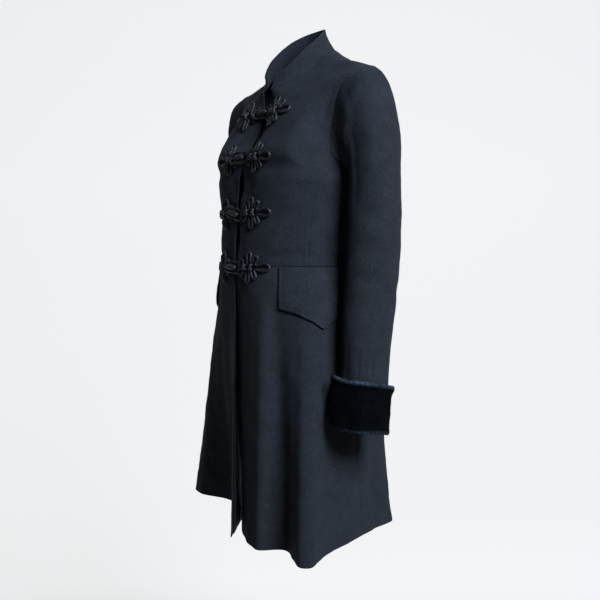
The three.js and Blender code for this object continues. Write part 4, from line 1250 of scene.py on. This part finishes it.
def flap_piece(side):
    skirt_front = SKIRT_FRONT[side]
    drop = WAIST_Z - LEFT_FRONT_LINES[-1]["hem"][2]
    places, lengths = column(FLAP_EDGE, "line"), column(FLAP_EDGE, "length")

    def surface(line, down):
        return skirt_front(line, down * np.interp(line, places, lengths) / drop)

    def relief(across, along, points, edges):
        below = laid(skirt_front, creases_of("skirt_front", side), points, hem=1)
        rim = np.minimum.reduce([edges[k] for k in ("u0", "u1", "v1")])
        return (below * off_waist(points[:, 2]) - 0.5 * bell(rim - 6, 1.4)
                + 1.2 * ease(along) ** 2)
    return panel(f"pocket_flap_{side}_cloth", surface,
                 lines_between(places[0], places[-1] - FLAP_REAR, 66, 140),
                 lines_between(0.012, 1, 50, 85), -1, (places[0], 0), (places[-1], 1),
                 over=FACING_GAP + FLAP, under=FACING_GAP, relief=relief,
                 mirrored=side == "right", roll=2.0)


def collar_piece(name, over, under, inset, foot, roll):
    cloth = bpy.context.scene.coat_cloth

    def relief(across, along, points, edges):
        stand = swayed(points, 0.8 * cloth.sway / MM)
        return stand + 0.5 * bell(edges["v1"] - 3, 3)
    return panel(name, collar, lines_between(-1, 1, 150, 400),
                 lines_between(inset + foot, 1 - inset, 30, 42), -1, (-1, 0), (1, 1),
                 over=over, under=under, relief=relief, roll=roll)


# ------------------------------------------------------------------ operators

SIDES = ("left", "right")


class COAT_OT_stage(bpy.types.Operator):
    """Set up the camera, the floor with its backdrop, and the lights"""

    bl_idname = "coat.stage"
    bl_label = "Stage"

    def execute(self, context):
        stage = context.scene.coat_stage
        lens = bpy.data.cameras.new("camera")
        lens.sensor_width = 36
        lens.lens = stage.lens
        lens.shift_y = LENS_SHIFT
        camera = bpy.data.objects.new("camera", lens)
        toward = Vector((math.sin(stage.azimuth), -math.cos(stage.azimuth), 0))
        camera.location = toward * stage.distance + Vector((0, 0, stage.height))
        camera.rotation_euler = (math.radians(90), 0, stage.azimuth)
        context.scene.collection.objects.link(camera)
        context.scene.camera = camera
        context.scene.view_settings.view_transform = "Standard"
        self.floor(context, stage, toward)
        self.lights(context, stage)
        return {"FINISHED"}

    def floor(self, context, stage, toward):
        """A floor that turns up into a backdrop behind the coat; grey itself, it looks pale
        where it glows.
        """
        near, far, high, bend = -5.0, 3.4, 6.5, 1.4
        width, steps = 9.0, 24
        profile = [(near, 0.0), (far - bend, 0.0)]
        for k in range(1, steps + 1):
            turn = math.radians(90 * k / steps)
            profile.append((far - bend + bend * math.sin(turn),
                            bend - bend * math.cos(turn)))
        profile.append((far, high))
        beside = Vector((-toward.y, toward.x, 0))
        points, faces = [], []
        for out, up in profile:
            for across in (-width, width):
                spot = -toward * out + beside * across
                points.append((spot.x, spot.y, stage.floor_drop + up))
        for k in range(len(profile) - 1):
            faces.append((2 * k, 2 * k + 1, 2 * k + 3, 2 * k + 2))
        mesh = bpy.data.meshes.new("floor")
        mesh.from_pydata(points, [], faces)
        for face in mesh.polygons:
            face.use_smooth = True
        paint = bpy.data.materials.new("floor_paint")
        paint.use_nodes = True
        shader = paint.node_tree.nodes["Principled BSDF"]
        shader.inputs["Base Color"].default_value = (*stage.floor, 1)
        shader.inputs["Roughness"].default_value = 1
        shader.inputs["Specular IOR Level"].default_value = 0
        self.glow(paint.node_tree, shader, stage, toward)
        mesh.materials.append(paint)
        floor = bpy.data.objects.new("floor", mesh)
        context.scene.collection.objects.link(floor)

    def glow(self, tree, shader, stage, toward):
        """The backdrop and the floor behind the coat shine, and fade aside. The floor in
        front hardly shines."""
        place = tree.nodes.new("ShaderNodeTexCoord").outputs["Object"]

        def along(direction):
            dot = node_of(tree, "ShaderNodeVectorMath", {0: place})
            dot.operation = "DOT_PRODUCT"
            dot.inputs[1].default_value = direction
            return dot.outputs["Value"]
        across = Vector((-toward.y, toward.x, 0))
        aside = node_of(tree, "ShaderNodeMath", {0: along(across)})
        aside.operation = "ABSOLUTE"
        behind = mapped(tree, along(-toward), *GLOW_DEPTH, GLOW_FRONT * stage.glow,
                        stage.glow, smooth=True)
        near = mapped(tree, aside.outputs["Value"], *GLOW_ASIDE, 1.0, GLOW_FAR, smooth=True)
        tree.links.new(product(tree, behind, near), shader.inputs["Emission Strength"])
        shader.inputs["Emission Color"].default_value = (1, 1, 1, 1)

    def lights(self, context, stage):
        """A wide key from the wearer's left, a weak fill from the front, and a dim sky."""
        world = bpy.data.worlds.new("surround")
        world.use_nodes = True
        surround = world.node_tree.nodes["Background"]
        surround.inputs["Color"].default_value = (0.96, 0.98, 1, 1)
        surround.inputs["Strength"].default_value = stage.surround
        context.scene.world = world
        middle = Vector((0, 0, -0.4))
        for name, place, power, size, colour in (
                ("key", Vector((2.55, -0.16, 1.25)), stage.key, 1.2, (0.84, 0.97, 1.14)),
                ("fill", Vector((-0.2, -2.4, 1.6)), stage.fill, 1.6, (1, 1, 1))):
            lamp = bpy.data.lights.new(name, "AREA")
            lamp.energy = power
            lamp.color = colour
            lamp.size = size
            obj = bpy.data.objects.new(name, lamp)
            obj.location = place
            obj.rotation_euler = (middle - place).to_track_quat("-Z", "Y").to_euler()
            context.scene.collection.objects.link(obj)


class COAT_OT_bodice(bpy.types.Operator):
    """Sew the four panels of the bodice"""

    bl_idname = "coat.bodice"
    bl_label = "Bodice"

    def execute(self, context):
        for side in SIDES:
            for part in ("front", "back"):
                settle(bodice_piece(side, part), [f"bodice_{part}_{side}"],
                       wool())
        return {"FINISHED"}


class COAT_OT_skirt(bpy.types.Operator):
    """Sew the four flared panels of the skirt"""

    bl_idname = "coat.skirt"
    bl_label = "Skirt"

    def execute(self, context):
        for side in SIDES:
            for part in ("front", "back"):
                settle(skirt_piece(side, part), [f"skirt_{part}_{side}"],
                       wool())
        return {"FINISHED"}


class COAT_OT_facings(bpy.types.Operator):
    """Line both front edges with the coat's own wool, darkened as painted shade"""

    bl_idname = "coat.facings"
    bl_label = "Facings"

    def execute(self, context):
        for side in SIDES:
            settle(facing_piece(side), [f"front_facing_{side}"],
                   shaded_facing_wool())
        return {"FINISHED"}


class COAT_OT_sleeves(bpy.types.Operator):
    """Set in the two-piece sleeves"""

    bl_idname = "coat.sleeves"
    bl_label = "Sleeves"

    def execute(self, context):
        for side in SIDES:
            for part in ("upper", "under"):
                settle(sleeve_piece(side, part), [f"sleeve_{part}_{side}"],
                       wool())
        return {"FINISHED"}


class COAT_OT_collar(bpy.types.Operator):
    """Stand the collar on the neckline and line it"""

    bl_idname = "coat.collar"
    bl_label = "Collar"

    def execute(self, context):
        settle(collar_piece("collar_band", 0.0, -COATING, 0.0, 0.0, 1.4), ["collar"],
               wool())
        # The lining is the coat's wool in the darker facing colour, painted shade inside
        # the collar.
        under = -(COATING + FACING_GAP)
        settle(collar_piece("collar_lining", under, under - FACING, 0.03, 0.04, 0.8),
               ["collar_facing"], shaded_facing_wool())
        return {"FINISHED"}


class COAT_OT_cuffs(bpy.types.Operator):
    """Turn back the velvet cuffs"""

    bl_idname = "coat.cuffs"
    bl_label = "Cuffs"

    def execute(self, context):
        for side in SIDES:
            settle(cuff_piece(side), [f"cuff_{side}"], velvet())
        return {"FINISHED"}


class COAT_OT_flaps(bpy.types.Operator):
    """Hang the pointed pocket flaps from the waist seam"""

    bl_idname = "coat.flaps"
    bl_label = "Pocket flaps"

    def execute(self, context):
        for side in SIDES:
            settle(flap_piece(side), [f"pocket_flap_{side}"], wool())
        return {"FINISHED"}


class COAT_OT_frogs(bpy.types.Operator):
    """Lay the braided frogs on the fronts"""

    bl_idname = "coat.frogs"
    bl_label = "Frogs"

    def execute(self, context):
        for frog in FROGS:
            for half, make in (("knot", knot_half), ("loop", loop_half)):
                points, quads, uvs = make(frog)
                name = f"{frog['name']}_{half}_half"
                obj = mesh_of(f"{name}_braid", points, quads, uvs)
                settle(obj, [name], braid())
        return {"FINISHED"}


OPERATORS = (COAT_OT_stage, COAT_OT_bodice, COAT_OT_skirt, COAT_OT_facings,
             COAT_OT_sleeves, COAT_OT_collar, COAT_OT_cuffs, COAT_OT_flaps, COAT_OT_frogs)


class COAT_PT_panel(bpy.types.Panel):
    """The coat's settings and the steps that make it"""

    bl_idname = "COAT_PT_panel"
    bl_label = "Frog-fastening coat"
    bl_space_type = "VIEW_3D"
    bl_region_type = "UI"
    bl_category = "Coat"

    def draw(self, context):
        for group in ("coat_cloth", "coat_frogs", "coat_stage"):
            settings = getattr(context.scene, group)
            box = self.layout.box()
            for name in settings.bl_rna.properties.keys():
                if name not in ("rna_type", "name"):
                    box.prop(settings, name)
        for operator in OPERATORS:
            self.layout.operator(operator.bl_idname)


CLASSES = (CoatCloth, CoatFrogs, CoatStage, *OPERATORS, COAT_PT_panel)


def register():
    for item in CLASSES:
        bpy.utils.register_class(item)
    bpy.types.Scene.coat_cloth = PointerProperty(type=CoatCloth)
    bpy.types.Scene.coat_frogs = PointerProperty(type=CoatFrogs)
    bpy.types.Scene.coat_stage = PointerProperty(type=CoatStage)


def unregister():
    for name in ("coat_cloth", "coat_frogs", "coat_stage"):
        delattr(bpy.types.Scene, name)
    for item in reversed(CLASSES):
        bpy.utils.unregister_class(item)


def main():
    register()
    bpy.ops.coat.stage()
    bpy.ops.coat.bodice()
    bpy.ops.coat.skirt()
    bpy.ops.coat.facings()
    bpy.ops.coat.sleeves()
    bpy.ops.coat.collar()
    bpy.ops.coat.cuffs()
    bpy.ops.coat.flaps()
    bpy.ops.coat.frogs()


if __name__ == "__main__":
    main()
